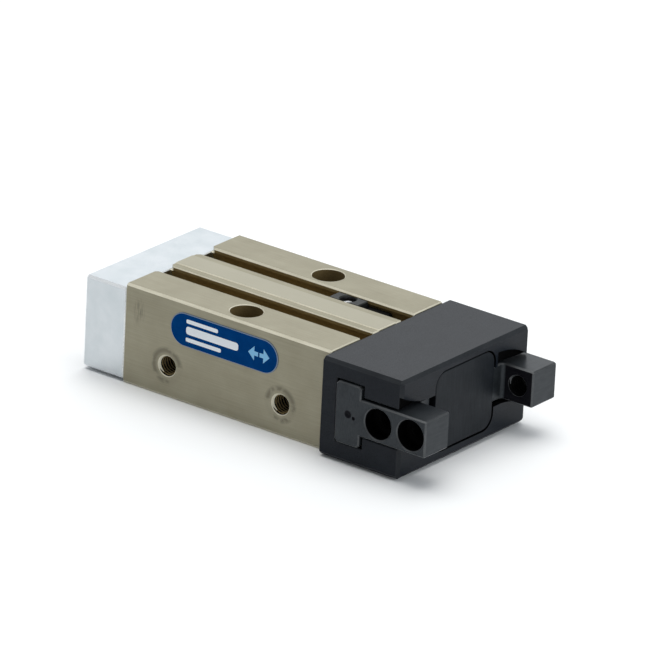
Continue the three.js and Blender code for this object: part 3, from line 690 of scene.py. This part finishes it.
# Near-white steel for the stop screw's socket: a painted highlight.
glint_white = machined(
    "steel_painted_glint", (0.8, 0.81, 0.82), (0.92, 0.93, 0.94),
    roughness=0.35, metallic=0.3, grain=(3.0, 3.0, 3.0), bump=0.1,
)
polished = machined(
    "polished_steel", (0.5, 0.51, 0.52), (0.66, 0.67, 0.68),
    roughness=0.18, metallic=1.0, grain=(0.4, 9.0, 9.0), bump=0.1,
)
grey_steel = machined(
    "stop_grey", (0.014, 0.016, 0.016), (0.03, 0.032, 0.032),
    roughness=0.45, metallic=0.4, grain=(6.0, 0.5, 6.0), bump=0.2, specular=0.2,
)
grey_edge = machined(
    "grey_edge", (0.018, 0.02, 0.019), (0.03, 0.033, 0.031),
    roughness=0.45, metallic=0.3, specular=0.2,
)
sintered = machined(
    "sintered_bronze", (0.24, 0.14, 0.05), (0.42, 0.27, 0.11),
    roughness=0.5, metallic=0.9, grain=(12.0, 12.0, 12.0),
)
magnet = machined(
    "magnet", (0.08, 0.08, 0.085), (0.13, 0.13, 0.135),
    roughness=0.4, metallic=0.8, grain=(10.0, 10.0, 10.0),
)
nitrile = rubber("nitrile", (0.008, 0.008, 0.008), (0.018, 0.018, 0.018))
moulded = rubber("stop_black", (0.002, 0.002, 0.002), (0.005, 0.005, 0.005))
film = label_film()
film_rim = printed("label_rim", (0.13, 0.19, 0.28), (0.2, 0.26, 0.34))
white_ink = printed("label_white", (0.74, 0.78, 0.82), (0.86, 0.89, 0.92))
light_ink = printed("label_light_blue", (0.16, 0.44, 0.72), (0.22, 0.52, 0.8))


# ---------------------------------------- cylinder body

def slot_points(y):
    """One sensor slot's outline, from its far lip down round and up to its near lip."""
    top = BODY.high.z
    half = SLOT["half_opening"]
    mouth = SLOT["mouth"]
    angle = math.degrees(math.acos(half / SLOT["radius"]))
    bottom = arc((y, top - SLOT["depth"]), SLOT["radius"], angle, -180 - angle, 28)
    return [
        (y + half + mouth, top), (y + half, top - mouth),
        *bottom,
        (y - half, top - mouth), (y - half - mouth, top),
    ]


def body_outline():
    """The section across the body. The land between the slots stands a little proud."""
    half = BODY.size.y / 2
    c = BODY_CHAMFER
    top = BODY.high.z
    shelf = top - LAND["step"]
    land = LAND["half_width"]
    foot = land + LAND["slope"]
    far = slot_points(SLOT_Y)
    near = slot_points(-SLOT_Y)
    far[-1] = (far[-1][0] + LAND["step"], shelf)
    near[0] = (near[0][0] - LAND["step"], shelf)
    return [
        (-half + c, 0), (half - c, 0), (half, c), (half, top - c), (half - c, top),
        *far, (foot, shelf), (land, top), (-land, top), (-foot, shelf), *near,
        (-half + c, top), (-half, top - c), (-half, c),
    ]


def slot_lead_in(y):
    """The flared entry at the slot's back end."""
    wide = SLOT["half_opening"] + SLOT["mouth"] + SLOT["lead_in"]
    narrow = SLOT["half_opening"]
    reach = wide - narrow
    outline = [
        (BACK - 0.2, y - wide - 0.2), (BACK + reach, y - narrow),
        (BACK + reach, y + narrow), (BACK - 0.2, y + wide + 0.2),
    ]
    return loft(outline, "Z", [(BODY.high.z - SLOT["lead_in_depth"], 0), (BODY.high.z + OVER, 0)], EDGE)


def port_tools(x):
    face = BODY.low.y
    centre = (x, PORT_Z)
    tapped = thread(PORT, face - 0.3, face + PORT["thread"], "Y", centre, DEEP)
    passage = drill(PORT["passage"], face + PORT["thread"] - 0.2, PORT_END_Y, "Y", centre)
    mouth = PORT["mouth"]
    sink = lathe([
        (0, face - 0.2), (mouth + 0.2, face - 0.2),
        (PORT["core"], face + mouth - PORT["core"]), (0, face + 0.5),
    ], "Y", centre)
    return tapped, passage, sink


def through_tools(y):
    top = BODY.high.z
    centre = (THROUGH_X, y)
    core, mouth = THROUGH["core"], THROUGH["mouth"]
    plain = drill(core, -0.3, top + 0.3, "Z", centre, 56)
    depth = mouth - core
    upper = lathe([
        (0, top - depth), (core, top - depth), (mouth + 0.2, top + 0.2), (0, top + 0.2),
    ], "Z", centre)
    lower = lathe([(0, -0.2), (mouth + 0.2, -0.2), (core, depth), (0, depth)], "Z", centre)
    return plain, upper, lower


def cylinder_body():
    c = BODY_END_CHAMFER
    made = loft(body_outline(), "X", chamfered_run(BACK, FRONT, c))
    mark_edges(made, BODY)
    roof = BODY.high.z - SLOT["mouth"]
    # The slot walls take the fourth look, a darker bronze: painted shade inside the slots.
    for polygon in made.data.polygons:
        across = abs(abs(polygon.center.y) - SLOT_Y) < SLOT["radius"] + 0.01
        inside = 0.5 * BODY.high.z < polygon.center.z < roof
        if across and inside and abs(polygon.normal.x) < 0.5:
            polygon.material_index = OTHER
    first = []
    second = []
    for x in PORT_X:
        tapped, passage, sink = port_tools(x)
        first.append(tapped)
        second += [passage, sink]
    for y in (-THROUGH_Y, THROUGH_Y):
        plain, upper, lower = through_tools(y)
        first.append(plain)
        second += [upper, lower]
    axis = (0, AXIS_Z)
    bore = lathe([
        (0, BACK - OVER), (BORE["radius"], BACK - OVER), (BORE["radius"], BORE["front"]),
        (BORE["bush"], BORE["front"]), (BORE["bush"], BORE["bush_front"]),
        (BORE["seal"], BORE["bush_front"]), (BORE["seal"], FRONT + OVER), (0, FRONT + OVER),
    ], "X", axis)
    for node in COVER_SCREWS:
        screw = Extent(node)
        place = (screw.mid.y, screw.mid.z)
        first.append(drill(SCREW_HOLE, BACK - OVER, BACK + TAPPED_DEPTH, "X", place, 24))
    for y in (-HEAD_SCREW_Y, HEAD_SCREW_Y):
        first.append(drill(SCREW_HOLE, FRONT - TAPPED_DEPTH, FRONT + OVER, "X", (y, AXIS_Z), 24))
    for place in DOWELS:
        hole = drill(DOWEL_HOLE["radius"], FRONT - DOWEL_HOLE["depth"], FRONT + OVER, "X", place, 24)
        first.append(hole)
    first += [slot_lead_in(-SLOT_Y), slot_lead_in(SLOT_Y)]
    cut(made, bore, gather(first), gather(second))
    finish_piece(
        made, "anodised_body", "housing", ["cylinder_body"],
        (bronze, bronze_edge_highlight_and_wear, bronze_hollow_shade, bronze_slot_shade, bronze_thread_shade),
    )


# ---------------------------------------- end cover

def end_cover():
    c = COVER_CHAMFER
    joint = COVER_JOINT_CHAMFER
    low, high = COVER.low, COVER.high
    outline = chamfered_rectangle(low.y, high.y, low.z, high.z, c)
    made = loft(outline, "X", [(low.x, c), (low.x + c, 0), (BACK - joint, 0), (BACK, joint)])
    mark_edges(made, COVER)
    axis = (0, AXIS_Z)
    radius, tip, seat = SPIGOT["radius"], SPIGOT["tip"], SPIGOT["seat"]
    taper, end = BACK + SPIGOT["taper"], BACK + SPIGOT["end"]
    groove, back, front = GROOVE["radius"], BACK + GROOVE["back"], BACK + GROOVE["front"]
    spigot = lathe([
        (0, BACK - OVER), (radius, BACK - OVER), (radius, back), (groove, back), (groove, front),
        (radius, front), (radius, taper), (tip, end), (seat, end), (seat, high.x), (0, high.x),
    ], "X", axis, FACE)
    join(made, spigot)
    seats = []
    shanks = []
    for node in COVER_SCREWS:
        screw = Extent(node)
        place = (screw.mid.y, screw.mid.z)
        radius = COVER_SEAT["radius"]
        seats.append(lathe([
            (0, low.x - 0.2), (radius + COVER_SEAT["flare"], low.x - 0.2),
            (radius, low.x + COVER_SEAT["flare_depth"]),
            (radius, low.x + COVER_SEAT["depth"]), (0, low.x + COVER_SEAT["depth"]),
        ], "X", place))
        shanks.append(drill(SCREW_HOLE, low.x + OVER, BACK + OVER, "X", place, 24))
    cut(made, gather(seats), gather(shanks))
    finish_piece(
        made, "satin_cover", "housing", ["end_cover"], (satin, satin_edge_highlight, satin_hollow_shade),
    )


def cover_screw(node):
    """A socket-head screw with a knurled head, seen in the cover's back."""
    place = Extent(node)
    x = place.low.x
    centre = (place.mid.y, place.mid.z)
    head = COVER_SCREW["head"]
    ridges = KNURL["ridges"]
    outline = []
    for k in range(2 * ridges):
        angle = math.pi * k / ridges
        radius = head - KNURL["depth"] * (k % 2)
        outline.append((centre[0] + radius * math.cos(angle), centre[1] + radius * math.sin(angle)))
    length = COVER_SCREW["head_length"]
    made = loft(outline, "X", [(x, 0.25), (x + 0.2, 0), (x + length - 0.1, 0), (x + length, 0.1)])
    shank = lathe([
        (0, x + length - 0.5), (COVER_SCREW["shank"], x + length - 0.5),
        (COVER_SCREW["shank"], place.high.x - 0.3), (0.9, place.high.x), (0, place.high.x),
    ], "X", centre, FACE, 24)
    join(made, shank)
    hexagon = circle(centre, COVER_SCREW["socket"], 6)
    socket = loft(hexagon, "X", [(x - 0.1, -0.25), (x + 0.15, 0), (x + 1.5, 0)], INNER)
    cut(made, socket)
    finish_piece(made, f"{node}_steel", "housing", [node], (zinc, polished, zinc_hollow_shade))


# ---------------------------------------- head

def t_slot():
    """The T-shaped slot for the jaws, flared a little at both sides of the head."""
    flange = FLANGE_SLOT["height"] / 2
    web = WEB_SLOT_HEIGHT / 2
    back, front, out = FLANGE_SLOT["back"], FLANGE_SLOT["front"], HEAD.high.x + 1.5
    outline = [
        (back, AXIS_Z - flange), (front, AXIS_Z - flange), (front, AXIS_Z - web), (out, AXIS_Z - web),
        (out, AXIS_Z + web), (front, AXIS_Z + web), (front, AXIS_Z + flange), (back, AXIS_Z + flange),
    ]
    half = HEAD.size.y / 2
    over = 0.1
    c = SLOT_MOUTH
    stations = [(-half - over, -c - over), (-half + c, 0), (half - c, 0), (half + over, -c - over)]
    return loft(outline, "Y", stations, INNER)


def lip_recess(side_y, side_z):
    """The recess in a lip's front edge: curved along the edge, and shallower towards the side."""
    bend = -1 if side_y == side_z else 1
    curve = FALLING_EDGE if bend < 0 else RISING_EDGE
    inner, outer = LIP_RECESS["inner"], HEAD.high.y + 0.1
    edge = []
    for step in range(25):
        y = inner + (outer - inner) * step / 24
        rise = curve["radius"] - math.sqrt(curve["radius"] ** 2 - (y - curve["start"]) ** 2)
        edge.append((y, curve["height"] + bend * rise))
    edge += [(outer, LIP_RECESS["base"]), (inner, LIP_RECESS["base"])]
    outline = [(side_y * y, AXIS_Z + side_z * z) for y, z in edge]
    front = HEAD.high.x
    made = loft(outline, "X", [(front - 2, 0), (front + 1, 0)], INNER)
    floor = [
        (front - LIP_RECESS["inner_depth"], side_y * inner),
        (front - LIP_RECESS["outer_depth"], side_y * outer),
        (front + 2, side_y * outer), (front + 2, side_y * inner),
    ]
    return combine(made, "INTERSECT", loft(floor, "Z", [(-OVER, 0), (HEAD.high.z + OVER, 0)], INNER))


def guide_head():
    low, high = HEAD.low, HEAD.high
    c = HEAD_CHAMFER
    outline = chamfered_rectangle(low.y, high.y, low.z, high.z, c)
    made = loft(outline, "X", [(low.x, 0.2), (low.x + 0.2, 0), (high.x - c, 0), (high.x, c)])
    mark_edges(made, HEAD)
    half = CHAMBER["width"] / 2
    chamber = block(
        (low.x - OVER, -half, AXIS_Z - CHAMBER["height"] / 2),
        (FLANGE_SLOT["back"] + 0.1, half, AXIS_Z + CHAMBER["height"] / 2),
    )
    cavity = loft(
        rounded_rectangle((0, AXIS_Z), CAVITY["width"], CAVITY["height"], CAVITY["corner"]),
        "X", [(FLANGE_SLOT["front"] - 0.1, 0), (high.x - 1, 0)], INNER,
    )
    pocket = loft(
        rounded_rectangle((0, AXIS_Z), POCKET["width"], POCKET["height"], POCKET["corner"], 14),
        "X", [(high.x - POCKET["depth"], 0), (high.x + 0.1, 0)], INNER,
    )
    tools = []
    for y in (-HEAD_SCREW_Y, HEAD_SCREW_Y):
        seat = FLANGE_SLOT["back"]
        tools.append(lathe([
            (0, low.x - OVER), (SCREW_HOLE, low.x - OVER), (SCREW_HOLE, seat - HEAD_SEAT["depth"]),
            (HEAD_SEAT["radius"], seat - HEAD_SEAT["depth"]), (HEAD_SEAT["radius"], seat + 0.5),
            (0, seat + 0.5),
        ], "X", (y, AXIS_Z)))
    for place in DOWELS:
        tools.append(drill(DOWEL_HOLE["radius"], low.x - OVER, FLANGE_SLOT["back"] + 0.1, "X", place, 24))
    recesses = [lip_recess(side_y, side_z) for side_y in (-1, 1) for side_z in (-1, 1)]
    cut(made, t_slot(), chamber, cavity, pocket, gather(tools))
    cut(made, *recesses)
    finish_piece(
        made, "black_head", "housing", ["guide_head"], (black, black_edge_highlight, black_hollow_shade),
    )


def front_plate():
    low, high = PLATE.low, PLATE.high
    outline = rounded_rectangle((0, AXIS_Z), PLATE.size.y, PLATE.size.z, PLATE_CORNER, 14)
    made = loft(outline, "X", [(low.x, 0), (high.x - 0.06, 0), (high.x, 0.06)])
    finish_piece(
        made, "closing_plate", "housing", ["front_plate"], (plate, black_edge_highlight, black_hollow_shade),
    )


# ---------------------------------------- jaws

def flank(x):
    return HOOK["front_half_width"] + HOOK["slope"] * (HOOK["front"] - x)


def hook_band(side, near, far, height):
    """A cutter that follows one flank of the wedge hook."""
    x0, x1 = HOOK["back"] - OVER, HOOK["front"] + OVER
    outline = [
        (x0, side * (flank(x0) + near)), (x1, side * (flank(x1) + near)),
        (x1, side * (flank(x1) + far)), (x0, side * (flank(x0) + far)),
    ]
    outline = outline if side > 0 else outline[::-1]
    return loft(outline, "Z", [(AXIS_Z - height / 2, 0), (AXIS_Z + height / 2, 0)], INNER)


def jaw_flange(side, inner, outer):
    low, high = JAW.low, JAW.high
    flange_front = FLANGE_SLOT["front"] - 0.2
    outline = chamfered_rectangle(low.x, flange_front, low.z, high.z, 0.4)
    stations = [(side * inner, 0), (side * (outer - 0.18), 0), (side * outer, 0.18)]
    return loft(outline, "Y", stations if side > 0 else stations[::-1])


def jaw_web(side, outer):
    """The web and the nose in front of it, drawn from above."""
    nose = JAW.high.x
    c = 0.22
    r = WEB["fillet"]
    root = arc((WEB["front"] + r, WEB["nose_inner"] - r), r, 180, 90, 8)
    outline = [
        (FLANGE_SLOT["front"] - OVER, WEB["inner"]), (WEB["front"], WEB["inner"]), *root,
        (nose - c, WEB["nose_inner"]), (nose, WEB["nose_inner"] + c), (nose, outer - c),
        (nose - c, outer), (FLANGE_SLOT["front"] - OVER, outer),
    ]
    outline = [(x, side * y) for x, y in outline]
    outline = outline if side > 0 else outline[::-1]
    half = WEB["height"] / 2
    return loft(outline, "Z", chamfered_run(AXIS_Z - half, AXIS_Z + half, WEB["edge"]))


def jaw_hole(side, x, inner, outer):
    """A seat on the jaw's outer side with a smaller hole behind it, countersunk at its inner mouth."""
    seat, mouth = JAW_SEAT["radius"], JAW_SEAT["mouth"]
    core, sink = JAW_THREAD["core"], JAW_THREAD["sink"]
    step = outer - JAW_SEAT["depth"]
    profile = [
        (0, inner - 0.5), (core + sink + 0.5, inner - 0.5), (core, inner + sink), (core, step),
        (seat, step), (seat, outer - mouth), (seat + mouth + 0.1, outer + 0.1), (0, outer + 0.1),
    ]
    hole = lathe([(r, side * h) for r, h in profile], "Y", (x, AXIS_Z), INNER, 56)
    ends = sorted((side * (inner - 0.3), side * (step + 0.2)))
    return hole, thread(JAW_THREAD, ends[0], ends[1], "Y", (x, AXIS_Z))


def jaw(side, name, body):
    outer = JAW.high.y
    made = jaw_flange(side, 1, outer)
    join(made, jaw_web(side, outer))
    mark_edges(made, Extent(name))
    web_hole, web_thread = jaw_hole(side, WEB_HOLE_X, WEB["inner"], outer)
    nose_hole, nose_thread = jaw_hole(side, NOSE_HOLE_X, WEB["nose_inner"], outer)
    cut(made, *[hook_band(side, *band) for band in HOOK_BANDS])
    cut(made, gather([web_hole, nose_hole]), gather([web_thread, nose_thread]))
    # The punch marks take the dark fourth look: painted shade in the shallow dimples.
    for x, z, radius in PUNCH_MARKS:
        bottom = outer - PUNCH_DEPTH
        mark = [(0, outer + 0.1), (radius, outer + 0.1), (radius / 3, bottom), (0, bottom)]
        profile = [(r, side * h) for r, h in mark]
        cut(made, lathe(profile, "Y", (JAW.low.x + x, AXIS_Z + z), OTHER, 24, OTHER))
    # The nose's inner side takes the same dark look: painted shade.
    for polygon in made.data.polygons:
        level = abs(polygon.center.y - side * WEB["nose_inner"]) < 0.01
        if level and abs(polygon.normal.y) > 0.99:
            polygon.material_index = OTHER
    looks = (steel, steel_edge_highlight_and_wear, steel_hollow_shade, steel_painted_shade)
    finish_piece(made, f"{name}_steel", body, [name], looks)


# ---------------------------------------- closing spring

def spring_coil():
    """Round wire on a helix about the rod. The real spring shortens towards its front end as the piston
    comes on; this one is made at one length.
    """
    wire, turns, sides = WIRE["radius"], WIRE["turns"], WIRE["sides"]
    start = SPRING.low.x + wire
    length = SPRING.size.x - 2 * wire
    radius = SPRING.size.y / 2 - wire
    steps = round(turns * WIRE["steps_per_turn"])
    vertices = []
    for step in range(steps + 1):
        angle = 2 * math.pi * turns * step / steps
        outward = Vector((0, math.cos(angle), math.sin(angle)))
        around = Vector((0, -math.sin(angle), math.cos(angle)))
        along = (around * radius + Vector((length / (2 * math.pi * turns), 0, 0))).normalized()
        across = along.cross(outward)
        centre = Vector((start + length * step / steps, 0, AXIS_Z)) + outward * radius
        for a, b in circle((0, 0), wire, sides):
            vertices.append(centre + outward * a + across * b)
    faces = [list(range(sides)), list(range(steps * sides, (steps + 1) * sides))]
    for step in range(steps):
        base = step * sides
        for k in range(sides):
            n = (k + 1) % sides
            faces.append([base + k, base + n, base + sides + n, base + sides + k])
    made = make_object("coil", vertices, faces, [FACE] * len(faces))
    looks = (polished, polished, polished)
    finish_piece(made, "spring_coil", "housing", ["closing_spring"], looks)
    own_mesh(made)


# ---------------------------------------- label and switch stop

def label():
    low, high = LABEL.low, LABEL.high
    height = LABEL.size.z
    outline = rounded_rectangle((LABEL.mid.x, LABEL.mid.z), LABEL.size.x, height, height / 2 - 0.001, 24)
    made = loft(outline, "Y", [(low.y, 0.13), (low.y + 0.06, 0), (high.y, 0)])
    finish_piece(made, "label_film", "housing", ["label_plate"], (film, film_rim, film))


def ink(outline):
    """A printed shape, a little proud of the label's film."""
    return loft(outline, "Y", [(LABEL.low.y - INK_RISE, 0), (LABEL.low.y + INK_SINK, 0)])


def bar(x, z, length, height):
    return ink(rounded_rectangle((x, z), length, height, height * 0.35, 5))


def label_print():
    """Plain bars where a maker would print its data, and an arrow pair for opening and closing."""
    left = LABEL.low.x + 2.6
    z = LABEL.mid.z
    lines = gather([bar(left + length / 2, z + rise, length, height) for length, height, rise in BARS])
    finish_piece(lines, "label_bars", "housing", [], (white_ink, white_ink, white_ink))
    x = LABEL.high.x - 3.1
    arrows = []
    for side in (-1, 1):
        tip, neck, tail = (x + side * ARROW[part] for part in ("tip", "neck", "tail"))
        head, shaft = side * ARROW["half_head"], side * ARROW["half_shaft"]
        outline = [
            (tip, z), (neck, z + head), (neck, z + shaft), (tail, z + shaft),
            (tail, z - shaft), (neck, z - shaft), (neck, z - head),
        ]
        arrows.append(ink(outline))
    pair = gather(arrows)
    finish_piece(pair, "label_arrows", "housing", [], (light_ink, light_ink, light_ink))


def stop_clamp():
    low, high = CLAMP.low, CLAMP.high
    radius = CLAMP.size.y / 2
    centre = (SLOT_Y, low.z + radius)
    half = CLAMP_HALF_WIDTH
    c = STOP_CHAMFER
    bore, mouth = CLAMP_BORE["radius"], CLAMP_BORE["mouth"]
    angle = math.degrees(math.acos(half / radius))
    outline = arc(centre, radius, -180 - angle, angle, 30)
    outline += [(SLOT_Y + half, high.z - c), (SLOT_Y + half - c, high.z)]
    outline += [(SLOT_Y - half + c, high.z), (SLOT_Y - half, high.z - c)]
    made = loft(outline, "X", chamfered_run(low.x, high.x, c))
    screw = (STOP_SCREW.mid.x, SLOT_Y)
    flare = lathe([
        (0, high.z - 0.15), (bore, high.z - 0.15), (mouth, high.z + 0.1), (0, high.z + 0.1),
    ], "Z", screw, INNER, 32)
    cut(made, drill(bore, low.z - OVER, high.z + OVER, "Z", screw, 32), flare)
    finish_piece(
        made, "stop_clamp", "housing", ["switch_stop_clamp"], (grey_steel, grey_edge, oxide),
    )


def stop_screw():
    """The clamp's set screw, with a shallow socket painted near-white as a highlight."""
    low = STOP_SCREW.low
    top = STOP_SCREW.high.z + STOP_SCREW_RISE
    centre = (STOP_SCREW.mid.x, SLOT_Y)
    radius = STOP_SCREW.size.x / 2
    made = lathe([
        (0, low.z), (radius - 0.2, low.z), (radius, low.z + 0.2), (radius, top - 0.1),
        (radius - 0.1, top), (0, top),
    ], "Z", centre, FACE, 32)
    hexagon = circle(centre, STOP_SOCKET["radius"], 6)
    socket = loft(hexagon, "Z", [(top - STOP_SOCKET["depth"], 0), (top + 0.1, 0)], INNER)
    cut(made, socket)
    finish_piece(
        made, "stop_screw", "housing", ["switch_stop_screw"], (moulded, moulded, glint_white),
    )


def stop_body():
    low, high = STOP_BODY.low, STOP_BODY.high
    c = STOP_CHAMFER
    radius = STOP_BODY.size.y / 2
    centre = (SLOT_Y, low.z + radius)
    angle = math.degrees(math.asin((high.z - centre[1]) / radius))
    outline = arc(centre, radius, -180 - angle, angle, 32)
    made = loft(outline, "X", chamfered_run(low.x, high.x, c))
    finish_piece(
        made, "stop_body", "housing", ["switch_stop_body"], (moulded, moulded, moulded),
    )


# ---------------------------------------- carried-over CAD nodes

CARRIED = {
    "cover_o_ring": nitrile,
    "rear_bumper": nitrile,
    "rod_bush": sintered,
    "rod_seal": nitrile,
    "seal_retainer": oxide,
    "head_screw_1": zinc,
    "head_screw_2": zinc,
    "head_dowel_1": polished,
    "head_dowel_2": polished,
    "piston": satin,
    "piston_seal_rear": nitrile,
    "magnet_ring": magnet,
    "piston_seal_front": nitrile,
    "piston_rod": polished,
    "piston_bolt": zinc,
    "wedge_hook": steel,
    "hook_pin": polished,
}


def dress_carried_nodes():
    for name, look in CARRIED.items():
        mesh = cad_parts[name].data
        mesh.materials.clear()
        mesh.materials.append(look)


# ---------------------------------------- camera, light and floor

# Angles are in degrees, the distance in metres, and the lens and the sensor in millimetres.
CAMERA = {
    "azimuth": -53.49, "elevation": 22.09, "roll": 2.89, "distance": 1.17306, "lens": 487.2, "sensor": 36,
}
AIM_OFFSET = Vector((1.22, 2.22, 2.46)) * MM


def middle_of(bounds):
    low, high = Vector(bounds[0]), Vector(bounds[1])
    return (low + high) / 2


def add_camera():
    data = bpy.data.cameras.new("camera")
    data.lens = CAMERA["lens"]
    data.sensor_width = CAMERA["sensor"]
    camera = bpy.data.objects.new("camera", data)
    azimuth = math.radians(CAMERA["azimuth"])
    elevation = math.radians(CAMERA["elevation"])
    level = math.cos(elevation)
    away = Vector((level * math.cos(azimuth), level * math.sin(azimuth), math.sin(elevation)))
    camera.location = middle_of(cad_bounds) + AIM_OFFSET + away * CAMERA["distance"]
    roll = Quaternion((0, 0, 1), math.radians(CAMERA["roll"]))
    camera.rotation_mode = "QUATERNION"
    camera.rotation_quaternion = (-away).to_track_quat("-Z", "Y") @ roll
    link(camera)
    bpy.context.scene.camera = camera


def add_light(name, place, size, power, colour):
    data = bpy.data.lights.new(name, "AREA")
    data.size = size
    data.energy = power
    data.color = colour
    light = bpy.data.objects.new(name, data)
    light.location = place
    light.rotation_mode = "QUATERNION"
    light.rotation_quaternion = Vector(place).to_track_quat("Z", "Y")
    link(light)


def add_studio():
    world = bpy.data.worlds.new("studio")
    world.use_nodes = True
    background = world.node_tree.nodes["Background"]
    background.inputs["Color"].default_value = (0.93, 0.97, 1.0, 1)
    background.inputs["Strength"].default_value = 0.36
    bpy.context.scene.world = world
    add_light("top_light", (-0.05, 0.04, 0.6), size=0.5, power=2.8, colour=(1.0, 0.99, 0.97))
    add_light("back_light", (-0.5, 0.7, 0.45), size=1.0, power=3.0, colour=(0.97, 0.985, 1.0))
    add_light("front_light", (0.6, 0.1, 0.25), size=0.4, power=1.25, colour=(0.94, 0.98, 1.0))
    bpy.context.scene.view_settings.view_transform = "Standard"


def add_floor():
    half = 2.0
    mesh = bpy.data.meshes.new("floor")
    corners = [(-half, -half, 0), (half, -half, 0), (half, half, 0), (-half, half, 0)]
    mesh.from_pydata(corners, [], [(0, 1, 2, 3)])
    floor = bpy.data.objects.new("floor", mesh)
    link(floor)
    tree = Tree("floor_white", 0.0, 0.2)
    cloud = tree.noise(0.02, 2.0)
    tree.finish(tree.mix(cloud, (0.93, 0.94, 0.95), (0.95, 0.96, 0.97)), 0.8)
    mesh.materials.append(tree.material)


# ---------------------------------------- making

add_camera()
add_studio()
add_floor()
cylinder_body()
end_cover()
for screw_node in COVER_SCREWS:
    cover_screw(screw_node)
guide_head()
front_plate()
jaw(-1, "jaw_near", "near_jaw")
jaw(1, "jaw_far", "far_jaw")
spring_coil()
label()
label_print()
stop_clamp()
stop_screw()
stop_body()
dress_carried_nodes()
